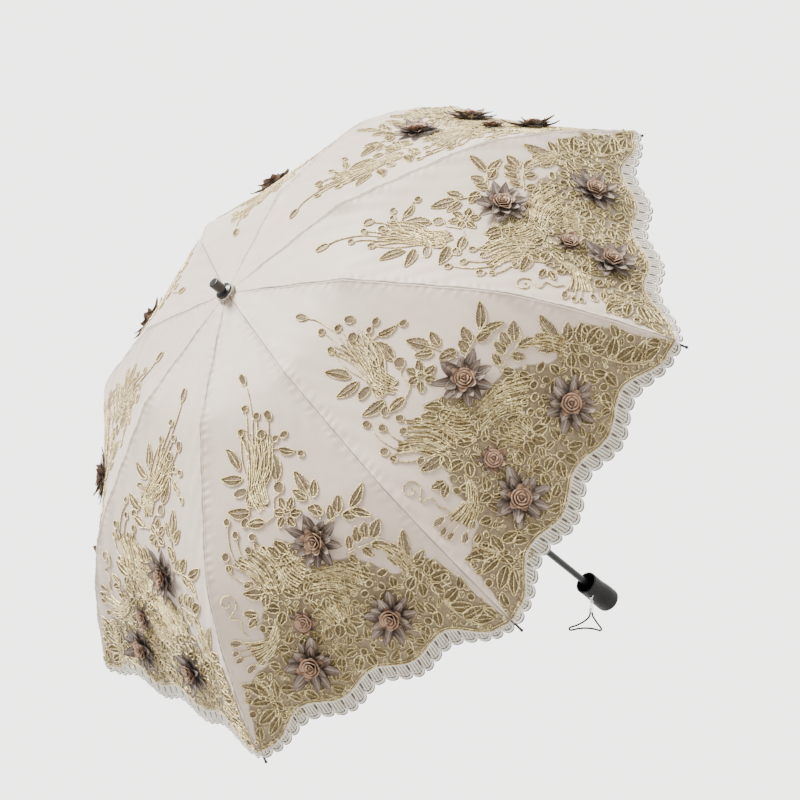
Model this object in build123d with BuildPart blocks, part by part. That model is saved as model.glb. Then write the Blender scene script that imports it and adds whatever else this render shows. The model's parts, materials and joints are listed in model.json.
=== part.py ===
from build123d import *
from math import atan2, cos, degrees, pi, radians, sin, tan
import os

# A ladies' folding parasol, open, standing upright: eight three-fold ribs, a three-stage
# shaft, a short cup-shaped grip and a small cord loop. Millimetres, +Z up the shaft,
# origin at the middle of the grip on the shaft's axis. Rib 1 lies along +X.

# ---------------------------------------------------------------- driving dimensions
RIBS = 8
RIB_STEP = 360 / RIBS

GRIP_HALF = 26.0                 # half the grip's length
HUB_HEIGHT = 692.0               # cloth at the shaft, above the grip's middle
CLOTH = 0.8                      # canopy cloth, with its lace
HUB_HOLE = 6.2                   # radius of the cloth's hole round the shaft
ELBOW_1 = (150.0, 23.0)          # radius and drop of the cloth over the first elbow
ELBOW_2 = (285.0, 88.0)          # and over the second elbow
CORNER = (425.0, 231.0)          # and at its corners
OUTER_SAGITTA = 9.5              # bow of the cloth over an outer rib

RIB_DEPTH = 5.8                  # rib centre-line below the outer side of the cloth
TIP_DEPTH = 3.6                  # the same at a corner
PIVOT_RADIUS = 10.0              # rib and stretcher pivots, from the shaft's axis
ELBOW_1_RAISE = 2.6              # first elbow's pin, above both centre-lines
ELBOW_2_DROP = 2.4               # second elbow's pin, below both centre-lines
LUG_REACH = 104.0                # stretcher pin along an inner rib, from its pivot
LUG_DROP = 6.0                   # and below the rib's centre-line

RIB_WIDTH = 3.2
RIB_HEIGHT = 3.0
MIDDLE_WIDTH = 3.0
MIDDLE_HEIGHT = 2.8
STRETCHER_WIDTH = 3.4
STRETCHER_HEIGHT = 2.8
GROOVE_WIDTH = 1.8               # the channel pressed into a rib's underside
GROOVE_DEPTH = 1.9
ROD_RADIUS = 1.2                 # outer rib, a round rod
EAR = 0.95                       # sheet of a fork's ear
EAR_REACH = 5.0                  # from an ear's pin to the block behind it
EAR_BLOCK = 4.0                  # length of that block
LUG_HALF = 0.8                   # half the sheet of a stretcher's lug
LUG_HALF_LENGTH = 3.2
SIDE_GAP = 0.25                  # free space each side of a tongue in its fork
PIN_RADIUS = 0.75
PIN_GAP = 0.05
RIVET_SEAT = 0.02
EYE_RADIUS = 1.7                 # metal round a riveted hole
ELBOW_EYE_RADIUS = 1.6           # the same at a second elbow's tongue
RING_EYE_RADIUS = 2.0            # metal round the crown's ring
RING_GAP = 0.25                  # free space round a ring in a rib's hole
RIVET_HEAD = 0.5
RIVET_HEAD_RADIUS = 1.3
WIRE_RADIUS = 0.5                # the rings that thread the crown and the runner

TUBE_RADII = (4.2, 4.85, 5.5)    # lower, middle and top tube, outside
TUBE_WALL = 0.55
TUBE_OVERLAP = 25.0
STAGE = 206.0                    # one stage's visible length, and a little over its travel
TOP_TUBE_LOW = 443.0
TOP_TUBE_HIGH = 697.0
MIDDLE_LOW = TOP_TUBE_LOW - STAGE

GRIP_MOUTH_RADIUS = 14.4
GRIP_WAIST_RADIUS = 14.2
GRIP_BASE_RADIUS = 15.4
GRIP_WALL = 2.0
GRIP_CUP_DEPTH = 20.0
GRIP_SEAT = GRIP_HALF / 2        # the lower tube stops this far above the grip's base
BASE_FILLET = 5.0
MOUTH_FILLET = 0.8
NOTCH_RADIUS = 4.9               # pocket in the grip's wall that leaves the staple free
NOTCH_OUT = 4.0                  # its centre, outside the wall
NOTCH_HALF = 2.6

CATCH_WIDTH = 2.4
CATCH_FOOT = 14.0                # spring catch's foot, below its tip
CATCH_LEAF = 0.25                # half the sheet of its foot
CATCH_STEP = 0.9                 # tip's reach outside its tube
CATCH_LAND = 2.5                 # length of the flat at its tip
CATCH_UNDERCUT = 0.2
CATCH_DROP = 1.0                 # tip below the end of the tube it holds up

CROWN_RADIUS = 13.0
RUNNER_RADIUS = 13.0
RUNNER_SLEEVE = 8.0
RUNNER_TAIL = 26.0               # sleeve's lower end, below its pivots
RUNNER_FLANGE = 2.0              # height and reach of the finger rim at that end
RUNNER_GAP = 0.1                 # sliding fit on the top tube
HEAD_ABOVE = 3.0                 # runner's head above its pivots
HEAD_BELOW = 4.5                 # runner's head and the crown below their pivots
NECK_BELOW = 7.0                 # where the sleeve widens into the head
CROWN_UNDER_CLOTH = 3.4
SLOT_WIDTH = 3.9
SLOT_FLOOR = 7.8                 # radius where a slot starts
SLOT_REACH = 20.0                # and one well outside the part
SLOT_END = 2.4                   # a slot's blind end, beyond the pivots

CAP_RADIUS = 5.7                 # the ferrule's neck
CAP_FLARE = 0.2
CAP_HEIGHT = 18.0
CAP_FILLET = 1.2
COLLAR_RADIUS = 9.6
COLLAR_HEIGHT = 2.4
COLLAR_SHOULDER = 4.0            # where the neck starts, above the collar's base
CAP_FIT = 0.02
ROSETTE_RADIUS = 11.6
ROSETTE_HEIGHT = 2.1
WASHER_RIM = 0.8                 # washer's reach beyond the collar, and its sheet
LAYER_GAP = 0.1
TOP_BORE = TUBE_RADII[2] + 0.2   # hole in the rosette and the washer

TIP_OVERLAP = 6.0                # moulded tip over the rod's end
TIP_SLEEVE = 2.5                 # and beyond it
TIP_WALL = 0.6
TIP_GLUE = 0.06
TIP_REACH = 11.0                 # ball's centre, beyond the rod's end
TIP_BALL = 1.7

SEAM_HAIR = 0.01                 # degrees between a seam and each gore

EYELET_HEIGHT = 15.0             # wrist loop's staple, above the grip's middle
EYELET_AZIMUTH = -73.9
CHAIN_AZIMUTH = -99.8            # the way the chain leaves it
CHAIN_TILT = 59.3                # from straight down
EYELET_RADIUS = 2.6
EYELET_WIRE = 0.5
LINKS = 3
LINK_RADIUS = 2.3
LINK_WIRE = 0.4
LINK_PLAY = 0.15
CRIMP_RING = 1.7
CRIMP_RADIUS = 2.5
CRIMP_LENGTH = 5.0
CORD_RADIUS = 1.15
ROUNDING = 0.45                  # a bend's share of the shorter of its two runs

BIG_FLOWERS = ((306.0, 0.43), (385.0, 0.33), (389.0, 0.68))   # radius, share of the panel
SMALL_FLOWER = (357.0, 0.64)
BIG_FLOWER_RADIUS = 26.0
SMALL_FLOWER_RADIUS = 14.0
FLOWER_HEIGHT = 5.0
FLOWER_LIFT = 3.0                # a flower's base above the cloth

# ------------------------------------------------- the rib line, in a rib's own plane (r, z)


def cloth_point(place):
    """Point of the cloth's outer side over a rib, from its radius and drop."""
    return Vector(place[0], HUB_HEIGHT - place[1])


def down_slope(start, end):
    """Angle of a run below the horizontal, in degrees."""
    return degrees(atan2(start.Y - end.Y, end.X - start.X))


def along(pitch):
    """Unit vector outward and down at an angle below the horizontal."""
    return Vector(cos(radians(pitch)), -sin(radians(pitch)))


def above(pitch):
    """Unit vector square to a run at that angle, on its cloth side."""
    return Vector(sin(radians(pitch)), cos(radians(pitch)))


HUB = cloth_point((0.0, 0.0))
BEND_1 = cloth_point(ELBOW_1)
BEND_2 = cloth_point(ELBOW_2)
HEM = cloth_point(CORNER)

INNER_PITCH = down_slope(HUB, BEND_1)
MIDDLE_PITCH = down_slope(BEND_1, BEND_2)
OUTER_PITCH = down_slope(BEND_2, HEM)
OUTER_CHORD = (HEM - BEND_2).length
OUTER_HALF_TURN = degrees(4 * OUTER_SAGITTA / OUTER_CHORD)
OUTER_START_PITCH = OUTER_PITCH - OUTER_HALF_TURN
TIP_PITCH = OUTER_PITCH + OUTER_HALF_TURN

CROWN_PIVOT = Vector(
    PIVOT_RADIUS,
    HUB_HEIGHT - PIVOT_RADIUS * tan(radians(INNER_PITCH)) - RIB_DEPTH / cos(radians(INNER_PITCH)),
)
ELBOW_1_PIN = BEND_1 - above((INNER_PITCH + MIDDLE_PITCH) / 2) * (RIB_DEPTH - ELBOW_1_RAISE)
ELBOW_2_PIN = BEND_2 - above((MIDDLE_PITCH + OUTER_START_PITCH) / 2) * (RIB_DEPTH + ELBOW_2_DROP)
STRETCHER_PIN = CROWN_PIVOT + along(INNER_PITCH) * LUG_REACH - above(INNER_PITCH) * LUG_DROP
STRETCHER_PITCH = down_slope(CROWN_PIVOT, STRETCHER_PIN)
STRETCHER_LENGTH = (STRETCHER_PIN - CROWN_PIVOT).length
RUNNER_PIVOT = Vector(
    PIVOT_RADIUS,
    CROWN_PIVOT.Y - 2 * STRETCHER_LENGTH * sin(radians(STRETCHER_PITCH)),
)
ROD_START = ELBOW_2_PIN + above(OUTER_START_PITCH) * ELBOW_2_DROP + along(OUTER_START_PITCH) * (EAR_REACH + 1.0)
ROD_END = HEM - above(TIP_PITCH) * TIP_DEPTH
ROD_MIDDLE = (ROD_START + ROD_END) / 2 + above(OUTER_PITCH) * OUTER_SAGITTA

# ---------------------------------------------------------------- helpers


def rib_azimuth(index):
    return (index - 1) * RIB_STEP


def rib_plane(azimuth, shift=0.0):
    """The upright plane of a rib: x outward, y up; shift moves it sideways."""
    turn = radians(azimuth)
    normal = Vector(sin(turn), -cos(turn), 0)
    return Plane(origin=normal * shift, x_dir=(cos(turn), sin(turn), 0), z_dir=normal)


def bar_corners(start, pitch, low, high, bottom, top):
    """Corners of a straight bar, measured along and square to a pitch from a start point."""
    run = along(pitch)
    rise = above(pitch)
    return [
        start + run * low + rise * bottom,
        start + run * high + rise * bottom,
        start + run * high + rise * top,
        start + run * low + rise * top,
    ]


def along_run(point, start, pitch):
    """Distance of a point along a run."""
    offset = point - start
    run = along(pitch)
    return offset.X * run.X + offset.Y * run.Y


def save(part, label):
    part.label = label
    export_step(part, "parts/" + label + ".step")


os.makedirs("parts", exist_ok=True)

# ---------------------------------------------------------------- grip

with BuildPart() as handle_grip:
    with BuildSketch(Plane.XZ):
        with BuildLine():
            Line((TUBE_RADII[0], -GRIP_HALF), (GRIP_BASE_RADIUS, -GRIP_HALF))
            Line((GRIP_BASE_RADIUS, -GRIP_HALF), (GRIP_BASE_RADIUS, -GRIP_HALF / 2))
            Spline(
                (GRIP_BASE_RADIUS, -GRIP_HALF / 2),
                (GRIP_WAIST_RADIUS, GRIP_HALF / 4),
                (GRIP_MOUTH_RADIUS, GRIP_HALF),
                tangents=((0, 1), (0, 1)),
            )
            Line((GRIP_MOUTH_RADIUS, GRIP_HALF), (GRIP_MOUTH_RADIUS - GRIP_WALL, GRIP_HALF))
            Line(
                (GRIP_MOUTH_RADIUS - GRIP_WALL, GRIP_HALF),
                (GRIP_MOUTH_RADIUS - GRIP_WALL, GRIP_HALF - GRIP_CUP_DEPTH),
            )
            Line(
                (GRIP_MOUTH_RADIUS - GRIP_WALL, GRIP_HALF - GRIP_CUP_DEPTH),
                (TUBE_RADII[0], GRIP_HALF - GRIP_CUP_DEPTH),
            )
            Line((TUBE_RADII[0], GRIP_HALF - GRIP_CUP_DEPTH), (TUBE_RADII[0], -GRIP_HALF))
        make_face()
    revolve(axis=Axis.Z)
    with BuildSketch(Plane.XY.offset(-GRIP_HALF)):
        Circle(TUBE_RADII[0])
    extrude(amount=GRIP_HALF / 2)
    rims = handle_grip.edges().filter_by(GeomType.CIRCLE).group_by(Axis.Z)
    fillet(rims[0].sort_by(SortBy.RADIUS)[-1], radius=BASE_FILLET)
    mouth_rims = handle_grip.edges().filter_by(GeomType.CIRCLE).group_by(Axis.Z)[-1]
    fillet(mouth_rims, radius=MOUTH_FILLET)
    eyelet_turn = radians(EYELET_AZIMUTH)
    eyelet_out = Vector(cos(eyelet_turn), sin(eyelet_turn), 0)
    with BuildSketch(
        Plane(
            origin=eyelet_out * (GRIP_MOUTH_RADIUS + NOTCH_OUT) + Vector(0, 0, EYELET_HEIGHT),
            z_dir=Vector(0, 0, 1).cross(eyelet_out),
        )
    ):
        Circle(NOTCH_RADIUS)
    extrude(amount=NOTCH_HALF, both=True, mode=Mode.SUBTRACT)
save(handle_grip.part, "handle_grip")

# ---------------------------------------------------------------- shaft tubes


def make_tube(outer, low, high, windows):
    """A tube with windows for its spring catches: each has a centre height and a length."""
    with BuildPart() as tube:
        with BuildSketch(Plane.XY.offset(low)):
            Circle(outer)
            Circle(outer - TUBE_WALL, mode=Mode.SUBTRACT)
        extrude(amount=high - low)
        for centre, length in windows:
            with BuildSketch(Plane(origin=(0, 0, centre), x_dir=(0, 1, 0), z_dir=(-1, 0, 0))):
                Rectangle(CATCH_WIDTH + 2 * SIDE_GAP, length)
            extrude(amount=2 * outer, mode=Mode.SUBTRACT)
    return tube.part


tube_spans = (
    (-GRIP_HALF + GRIP_SEAT, MIDDLE_LOW + TUBE_OVERLAP),
    (MIDDLE_LOW, TOP_TUBE_LOW + TUBE_OVERLAP),
    (TOP_TUBE_LOW, TOP_TUBE_HIGH),
)
runner_low = RUNNER_PIVOT.Y - RUNNER_TAIL
catch_tips = [low - CATCH_DROP for low in (MIDDLE_LOW, TOP_TUBE_LOW, runner_low)]
window_length = CATCH_FOOT + 2 * CATCH_DROP
names = ("lower_tube", "middle_tube", "top_tube")
for name, outer, span, tip in zip(names, TUBE_RADII, tube_spans, catch_tips):
    window = (tip - CATCH_FOOT / 2, window_length)
    save(make_tube(outer, span[0], span[1], [window]), name)

# ---------------------------------------------------------------- spring catches


def make_catch(outer, tip):
    """A leaf that leans out of its tube's window, its step at the tip, on the -X side."""
    mid_wall = outer - TUBE_WALL / 2
    with BuildPart() as leaf:
        with BuildSketch(Plane.XZ):
            with BuildLine():
                Polyline(
                    (-mid_wall + CATCH_LEAF, tip - CATCH_FOOT),
                    (-mid_wall - CATCH_LEAF, tip - CATCH_FOOT),
                    (-outer - CATCH_STEP, tip - CATCH_LAND),
                    (-outer - CATCH_STEP, tip),
                    (-outer - CATCH_UNDERCUT, tip),
                    close=True,
                )
            make_face()
        extrude(amount=CATCH_WIDTH / 2, both=True)
    return leaf.part


catch_names = ("lower_detent", "middle_detent", "runner_catch")
for name, outer, tip in zip(catch_names, TUBE_RADII, catch_tips):
    save(make_catch(outer, tip), name)

# ---------------------------------------------------------------- crown and runner


def slot_cut(low, high):
    """One radial slot for each rib, cut out of the part that is being built."""
    for index in range(RIBS):
        with BuildSketch(rib_plane(index * RIB_STEP)) as slot:
            with Locations(((SLOT_FLOOR + SLOT_REACH) / 2, (low + high) / 2)):
                Rectangle(SLOT_REACH - SLOT_FLOOR, high - low)
        extrude(slot.sketch, amount=SLOT_WIDTH / 2, both=True, mode=Mode.SUBTRACT)


def ring_groove(height):
    """The groove that holds the wire ring through all pivots."""
    with BuildSketch(Plane.XZ) as section:
        with Locations((PIVOT_RADIUS, height)):
            Circle(WIRE_RADIUS)
    revolve(section.sketch, axis=Axis.Z, mode=Mode.SUBTRACT)


crown_low = CROWN_PIVOT.Y - HEAD_BELOW
crown_high = HUB_HEIGHT - CROWN_UNDER_CLOTH
with BuildPart() as crown:
    with BuildSketch(Plane.XY.offset(crown_low)):
        Circle(CROWN_RADIUS)
        Circle(TUBE_RADII[2], mode=Mode.SUBTRACT)
    extrude(amount=crown_high - crown_low)
    slot_cut(crown_low, CROWN_PIVOT.Y + SLOT_END)
    ring_groove(CROWN_PIVOT.Y)
save(crown.part, "crown")

runner_bore = TUBE_RADII[2] + RUNNER_GAP
with BuildPart() as runner:
    with BuildSketch(Plane.XZ):
        with BuildLine():
            Polyline(
                (runner_bore, runner_low),
                (RUNNER_SLEEVE + RUNNER_FLANGE, runner_low),
                (RUNNER_SLEEVE + RUNNER_FLANGE, runner_low + RUNNER_FLANGE),
                (RUNNER_SLEEVE, runner_low + 2 * RUNNER_FLANGE),
                (RUNNER_SLEEVE, RUNNER_PIVOT.Y - NECK_BELOW),
                (RUNNER_RADIUS, RUNNER_PIVOT.Y - HEAD_BELOW),
                (RUNNER_RADIUS, RUNNER_PIVOT.Y + HEAD_ABOVE),
                (runner_bore, RUNNER_PIVOT.Y + HEAD_ABOVE),
                close=True,
            )
        make_face()
    revolve(axis=Axis.Z)
    slot_cut(RUNNER_PIVOT.Y - SLOT_END, RUNNER_PIVOT.Y + HEAD_ABOVE)
    ring_groove(RUNNER_PIVOT.Y)
save(runner.part, "runner")

for name, height in (("crown_wire", CROWN_PIVOT.Y), ("runner_wire", RUNNER_PIVOT.Y)):
    with BuildPart() as wire_ring:
        with BuildSketch(Plane.XZ):
            with Locations((PIVOT_RADIUS, height)):
                Circle(WIRE_RADIUS)
        revolve(axis=Axis.Z)
    save(wire_ring.part, name)

# ---------------------------------------------------------------- top: rosette, washer, ferrule

rosette_low = HUB_HEIGHT + LAYER_GAP
washer_low = rosette_low + ROSETTE_HEIGHT + LAYER_GAP
ferrule_low = washer_low + WASHER_RIM + LAYER_GAP
with BuildPart() as top_rosette:
    with BuildSketch(Plane.XZ):
        with BuildLine():
            Polyline(
                (TOP_BORE, rosette_low),
                (COLLAR_RADIUS, rosette_low),
                (ROSETTE_RADIUS, rosette_low + ROSETTE_HEIGHT / 3),
                (COLLAR_RADIUS, rosette_low + ROSETTE_HEIGHT),
                (TOP_BORE, rosette_low + ROSETTE_HEIGHT),
                close=True,
            )
        make_face()
    revolve(axis=Axis.Z)
save(top_rosette.part, "top_rosette")

with BuildPart() as ferrule_washer:
    with BuildSketch(Plane.XY.offset(washer_low)):
        Circle(COLLAR_RADIUS + WASHER_RIM)
        Circle(TOP_BORE, mode=Mode.SUBTRACT)
    extrude(amount=WASHER_RIM)
save(ferrule_washer.part, "ferrule_washer")

with BuildPart() as ferrule:
    with BuildSketch(Plane.XZ):
        with BuildLine():
            Polyline(
                (0.0, ferrule_low + COLLAR_SHOULDER),
                (TUBE_RADII[2] + CAP_FIT, ferrule_low + COLLAR_SHOULDER),
                (TUBE_RADII[2] + CAP_FIT, ferrule_low),
                (COLLAR_RADIUS, ferrule_low),
                (COLLAR_RADIUS, ferrule_low + COLLAR_HEIGHT),
                (CAP_RADIUS, ferrule_low + COLLAR_SHOULDER),
                (CAP_RADIUS + CAP_FLARE, ferrule_low + CAP_HEIGHT),
                (0.0, ferrule_low + CAP_HEIGHT),
                close=True,
            )
        make_face()
    revolve(axis=Axis.Z)
    cap_rim = ferrule.edges().filter_by(GeomType.CIRCLE).group_by(Axis.Z)[-1]
    fillet(cap_rim, radius=CAP_FILLET)
save(ferrule.part, "ferrule")

# ---------------------------------------------------------------- inner ribs


def groove_cut(azimuth, start, pitch, low, high, bottom):
    """The channel pressed into the underside of a bar."""
    corners = bar_corners(start, pitch, low, high, bottom - GROOVE_DEPTH, bottom + GROOVE_DEPTH)
    with BuildSketch(rib_plane(azimuth)) as groove:
        with BuildLine():
            Polyline(*corners, close=True)
        make_face()
    extrude(groove.sketch, amount=GROOVE_WIDTH / 2, both=True, mode=Mode.SUBTRACT)


def bore(azimuth, centre, radius):
    """A hole square to a rib's plane."""
    with BuildSketch(rib_plane(azimuth)) as hole:
        with Locations(centre):
            Circle(radius)
    extrude(hole.sketch, amount=2 * RIB_WIDTH, both=True, mode=Mode.SUBTRACT)


def rivet(azimuth, centre, half_width):
    """A rivet through a fork, with a head each side, loose in its holes by a hair."""
    with BuildSketch(rib_plane(azimuth)) as shank:
        with Locations(centre):
            Circle(PIN_RADIUS)
    extrude(shank.sketch, amount=half_width + RIVET_HEAD, both=True)
    for side in (-1, 1):
        head_middle = half_width + RIVET_SEAT + RIVET_HEAD / 2
        with BuildSketch(rib_plane(azimuth, side * head_middle)) as head:
            with Locations(centre):
                Circle(RIVET_HEAD_RADIUS)
        extrude(head.sketch, amount=RIVET_HEAD / 2, both=True)


elbow_1_along = along_run(ELBOW_1_PIN, CROWN_PIVOT, INNER_PITCH)


def make_inner_rib(azimuth):
    half = RIB_HEIGHT / 2
    bar = bar_corners(CROWN_PIVOT, INNER_PITCH, 0, elbow_1_along + 1.0, -half, half)
    elbow = bar_corners(ELBOW_1_PIN, INNER_PITCH, -4.0, 1.0, -ELBOW_1_RAISE, 0.6)
    lug = bar_corners(STRETCHER_PIN, INNER_PITCH, -LUG_HALF_LENGTH, LUG_HALF_LENGTH, 0.0, LUG_DROP)
    with BuildPart() as rib:
        with BuildSketch(rib_plane(azimuth)):
            with BuildLine():
                Polyline(*bar, close=True)
            make_face()
            with Locations(CROWN_PIVOT):
                Circle(RING_EYE_RADIUS)
            with Locations(ELBOW_1_PIN):
                Circle(EYE_RADIUS)
            with BuildLine():
                Polyline(*elbow, close=True)
            make_face()
        extrude(amount=RIB_WIDTH / 2, both=True)
        groove_cut(azimuth, CROWN_PIVOT, INNER_PITCH, 10.0, LUG_REACH - 9.0, -half)
        groove_cut(azimuth, CROWN_PIVOT, INNER_PITCH, LUG_REACH + 9.0, elbow_1_along - 10.0, -half)
        with BuildSketch(rib_plane(azimuth)):
            with BuildLine():
                Polyline(*lug, close=True)
            make_face()
            with Locations(STRETCHER_PIN):
                Circle(EYE_RADIUS)
        extrude(amount=LUG_HALF, both=True)
        bore(azimuth, CROWN_PIVOT, WIRE_RADIUS + RING_GAP)
        bore(azimuth, ELBOW_1_PIN, PIN_RADIUS + PIN_GAP)
        bore(azimuth, STRETCHER_PIN, PIN_RADIUS + PIN_GAP)
    return rib.part


# ---------------------------------------------------------------- stretchers


def make_stretcher(azimuth):
    half = STRETCHER_HEIGHT / 2
    pitch = -STRETCHER_PITCH
    bar_sides = bar_corners(RUNNER_PIVOT, pitch, 0, STRETCHER_LENGTH, -half, half)
    fork_slot = bar_corners(STRETCHER_PIN, pitch, -8.0, 4.0, -4.0, 4.0)
    with BuildPart() as bar:
        with BuildSketch(rib_plane(azimuth)):
            with BuildLine():
                Polyline(*bar_sides, close=True)
            make_face()
            with Locations(RUNNER_PIVOT, STRETCHER_PIN):
                Circle(EYE_RADIUS)
        extrude(amount=STRETCHER_WIDTH / 2, both=True)
        groove_cut(azimuth, RUNNER_PIVOT, pitch, 8.0, STRETCHER_LENGTH - 14.0, -half)
        with BuildSketch(rib_plane(azimuth)):
            with BuildLine():
                Polyline(*fork_slot, close=True)
            make_face()
        extrude(amount=LUG_HALF + SIDE_GAP, both=True, mode=Mode.SUBTRACT)
        bore(azimuth, RUNNER_PIVOT, WIRE_RADIUS + RING_GAP)
        bore(azimuth, STRETCHER_PIN, PIN_RADIUS + RIVET_SEAT)
        rivet(azimuth, STRETCHER_PIN, STRETCHER_WIDTH / 2)
    return bar.part


# ---------------------------------------------------------------- middle ribs


def make_ears(azimuth, pin, pitch, bottom, top, tongue_width):
    """Two ears from a pin to a bar, and the block that joins them to the bar."""
    inner = tongue_width / 2 + SIDE_GAP
    outer = inner + EAR
    block_end = EAR_REACH + EAR_BLOCK
    for side in (-1, 1):
        with BuildSketch(rib_plane(azimuth, side * (inner + outer) / 2)) as ear:
            with Locations(pin):
                Circle(EYE_RADIUS)
            with BuildLine():
                Polyline(*bar_corners(pin, pitch, 0.0, block_end, bottom, top), close=True)
            make_face()
        extrude(ear.sketch, amount=EAR / 2, both=True)
    with BuildSketch(rib_plane(azimuth)) as block:
        with BuildLine():
            Polyline(*bar_corners(pin, pitch, EAR_REACH, block_end, bottom, top), close=True)
        make_face()
    extrude(block.sketch, amount=outer, both=True)
    return outer


middle_origin = ELBOW_1_PIN - above(MIDDLE_PITCH) * ELBOW_1_RAISE
elbow_2_along = along_run(ELBOW_2_PIN, middle_origin, MIDDLE_PITCH)


def make_middle_rib(azimuth):
    half = MIDDLE_HEIGHT / 2
    bar = bar_corners(middle_origin, MIDDLE_PITCH, EAR_REACH, elbow_2_along + 1.0, -half, half)
    elbow = bar_corners(ELBOW_2_PIN, MIDDLE_PITCH, -4.0, 1.0, -0.6, ELBOW_2_DROP)
    ear_bottom = -ELBOW_1_RAISE - half
    ear_top = -ELBOW_1_RAISE + half
    with BuildPart() as rib:
        with BuildSketch(rib_plane(azimuth)):
            with BuildLine():
                Polyline(*bar, close=True)
            make_face()
            with Locations(ELBOW_2_PIN):
                Circle(ELBOW_EYE_RADIUS)
            with BuildLine():
                Polyline(*elbow, close=True)
            make_face()
        extrude(amount=MIDDLE_WIDTH / 2, both=True)
        outer = make_ears(azimuth, ELBOW_1_PIN, MIDDLE_PITCH, ear_bottom, ear_top, RIB_WIDTH)
        groove_cut(azimuth, middle_origin, MIDDLE_PITCH, 16.0, elbow_2_along - 12.0, -half)
        bore(azimuth, ELBOW_1_PIN, PIN_RADIUS + RIVET_SEAT)
        bore(azimuth, ELBOW_2_PIN, PIN_RADIUS + PIN_GAP)
        rivet(azimuth, ELBOW_1_PIN, outer)
    return rib.part


# ---------------------------------------------------------------- outer ribs and their tips


def make_outer_rib(azimuth):
    block_half = ROD_RADIUS + 0.3
    flat = rib_plane(azimuth)
    rod_stations = (ROD_START, ROD_MIDDLE, ROD_END)
    rod_points = [flat.from_local_coords((point.X, point.Y, 0)) for point in rod_stations]
    with BuildPart() as rib:
        with BuildLine() as rod_line:
            ThreePointArc(*rod_points)
        with BuildSketch(Plane(origin=rod_line.line @ 0, z_dir=rod_line.line % 0)):
            Circle(ROD_RADIUS)
        sweep()
        outer = make_ears(
            azimuth,
            ELBOW_2_PIN,
            OUTER_START_PITCH,
            ELBOW_2_DROP - block_half,
            ELBOW_2_DROP + block_half,
            MIDDLE_WIDTH,
        )
        bore(azimuth, ELBOW_2_PIN, PIN_RADIUS + RIVET_SEAT)
        rivet(azimuth, ELBOW_2_PIN, outer)
    return rib.part


def make_rib_tip(azimuth):
    """The moulded tip pushed over the rod's end, with a ball at its own end."""
    flat = rib_plane(azimuth)
    run = along(TIP_PITCH)
    centre = flat.from_local_coords((ROD_END.X, ROD_END.Y, 0))
    direction = flat.from_local_coords((run.X, run.Y, 0))
    with BuildPart() as tip:
        with BuildSketch(Plane(origin=centre - direction * TIP_OVERLAP, z_dir=direction)):
            Circle(ROD_RADIUS + TIP_WALL)
        extrude(amount=TIP_OVERLAP + TIP_SLEEVE)
        with BuildSketch(Plane(origin=centre, z_dir=direction)):
            Circle(ROD_RADIUS)
        extrude(amount=TIP_REACH)
        with BuildSketch(Plane(origin=centre - direction * (TIP_OVERLAP + 1.0), z_dir=direction)):
            Circle(ROD_RADIUS + TIP_GLUE)
        extrude(amount=TIP_OVERLAP + 1.0 + LAYER_GAP, mode=Mode.SUBTRACT)
        with Locations(centre + direction * TIP_REACH):
            Sphere(TIP_BALL)
    return tip.part


for index in range(1, RIBS + 1):
    azimuth = rib_azimuth(index)
    save(make_inner_rib(azimuth), f"inner_rib_{index}")
    save(make_stretcher(azimuth), f"stretcher_{index}")
    save(make_middle_rib(azimuth), f"middle_rib_{index}")
    save(make_outer_rib(azimuth), f"outer_rib_{index}")
    save(make_rib_tip(azimuth), f"rib_tip_{index}")

# ---------------------------------------------------------------- canopy

hub_edge = HUB - Vector(0, HUB_HOLE * tan(radians(INNER_PITCH))) + Vector(HUB_HOLE, 0)


def seam_section(azimuth):
    """The cloth cut along a rib: a thin band under the seam line."""
    low_hub = hub_edge - above(INNER_PITCH) * CLOTH
    low_1 = BEND_1 - above((INNER_PITCH + MIDDLE_PITCH) / 2) * CLOTH
    low_2 = BEND_2 - above((MIDDLE_PITCH + OUTER_START_PITCH) / 2) * CLOTH
    low_hem = HEM - above(TIP_PITCH) * CLOTH
    with BuildSketch(rib_plane(azimuth)) as section:
        with BuildLine():
            Polyline(low_2, low_1, low_hub, hub_edge, BEND_1, BEND_2)
            SagittaArc(BEND_2, HEM, OUTER_SAGITTA)
            Line(HEM, low_hem)
            SagittaArc(low_hem, low_2, -OUTER_SAGITTA)
        make_face()
    return section.sketch


with BuildPart() as canopy_gores:
    for index in range(RIBS):
        first = seam_section(index * RIB_STEP + SEAM_HAIR)
        second = seam_section((index + 1) * RIB_STEP - SEAM_HAIR)
        loft([first.face(), second.face()], ruled=True)
save(canopy_gores.part, "canopy_gores")

# ---------------------------------------------------------------- sewn flowers


def seam_drop(radius):
    """Height of the cloth's outer side on a rib at a radius."""
    if radius < ELBOW_1[0]:
        return HUB_HEIGHT - ELBOW_1[1] * radius / ELBOW_1[0]
    if radius < ELBOW_2[0]:
        share = (radius - ELBOW_1[0]) / (ELBOW_2[0] - ELBOW_1[0])
        return BEND_1.Y + share * (BEND_2.Y - BEND_1.Y)
    share = (radius - ELBOW_2[0]) / (CORNER[0] - ELBOW_2[0])
    bow = 4 * OUTER_SAGITTA * share * (1 - share) / cos(radians(OUTER_PITCH))
    return BEND_2.Y + share * (HEM.Y - BEND_2.Y) + bow


def gore_point(azimuth, radius, share):
    """A point of a panel: a share of the way from its first rib back to the one before."""
    ends = []
    for turn in (radians(azimuth), radians(azimuth - RIB_STEP)):
        ends.append(Vector(radius * cos(turn), radius * sin(turn), seam_drop(radius)))
    return ends[0] * (1 - share) + ends[1] * share


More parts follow.
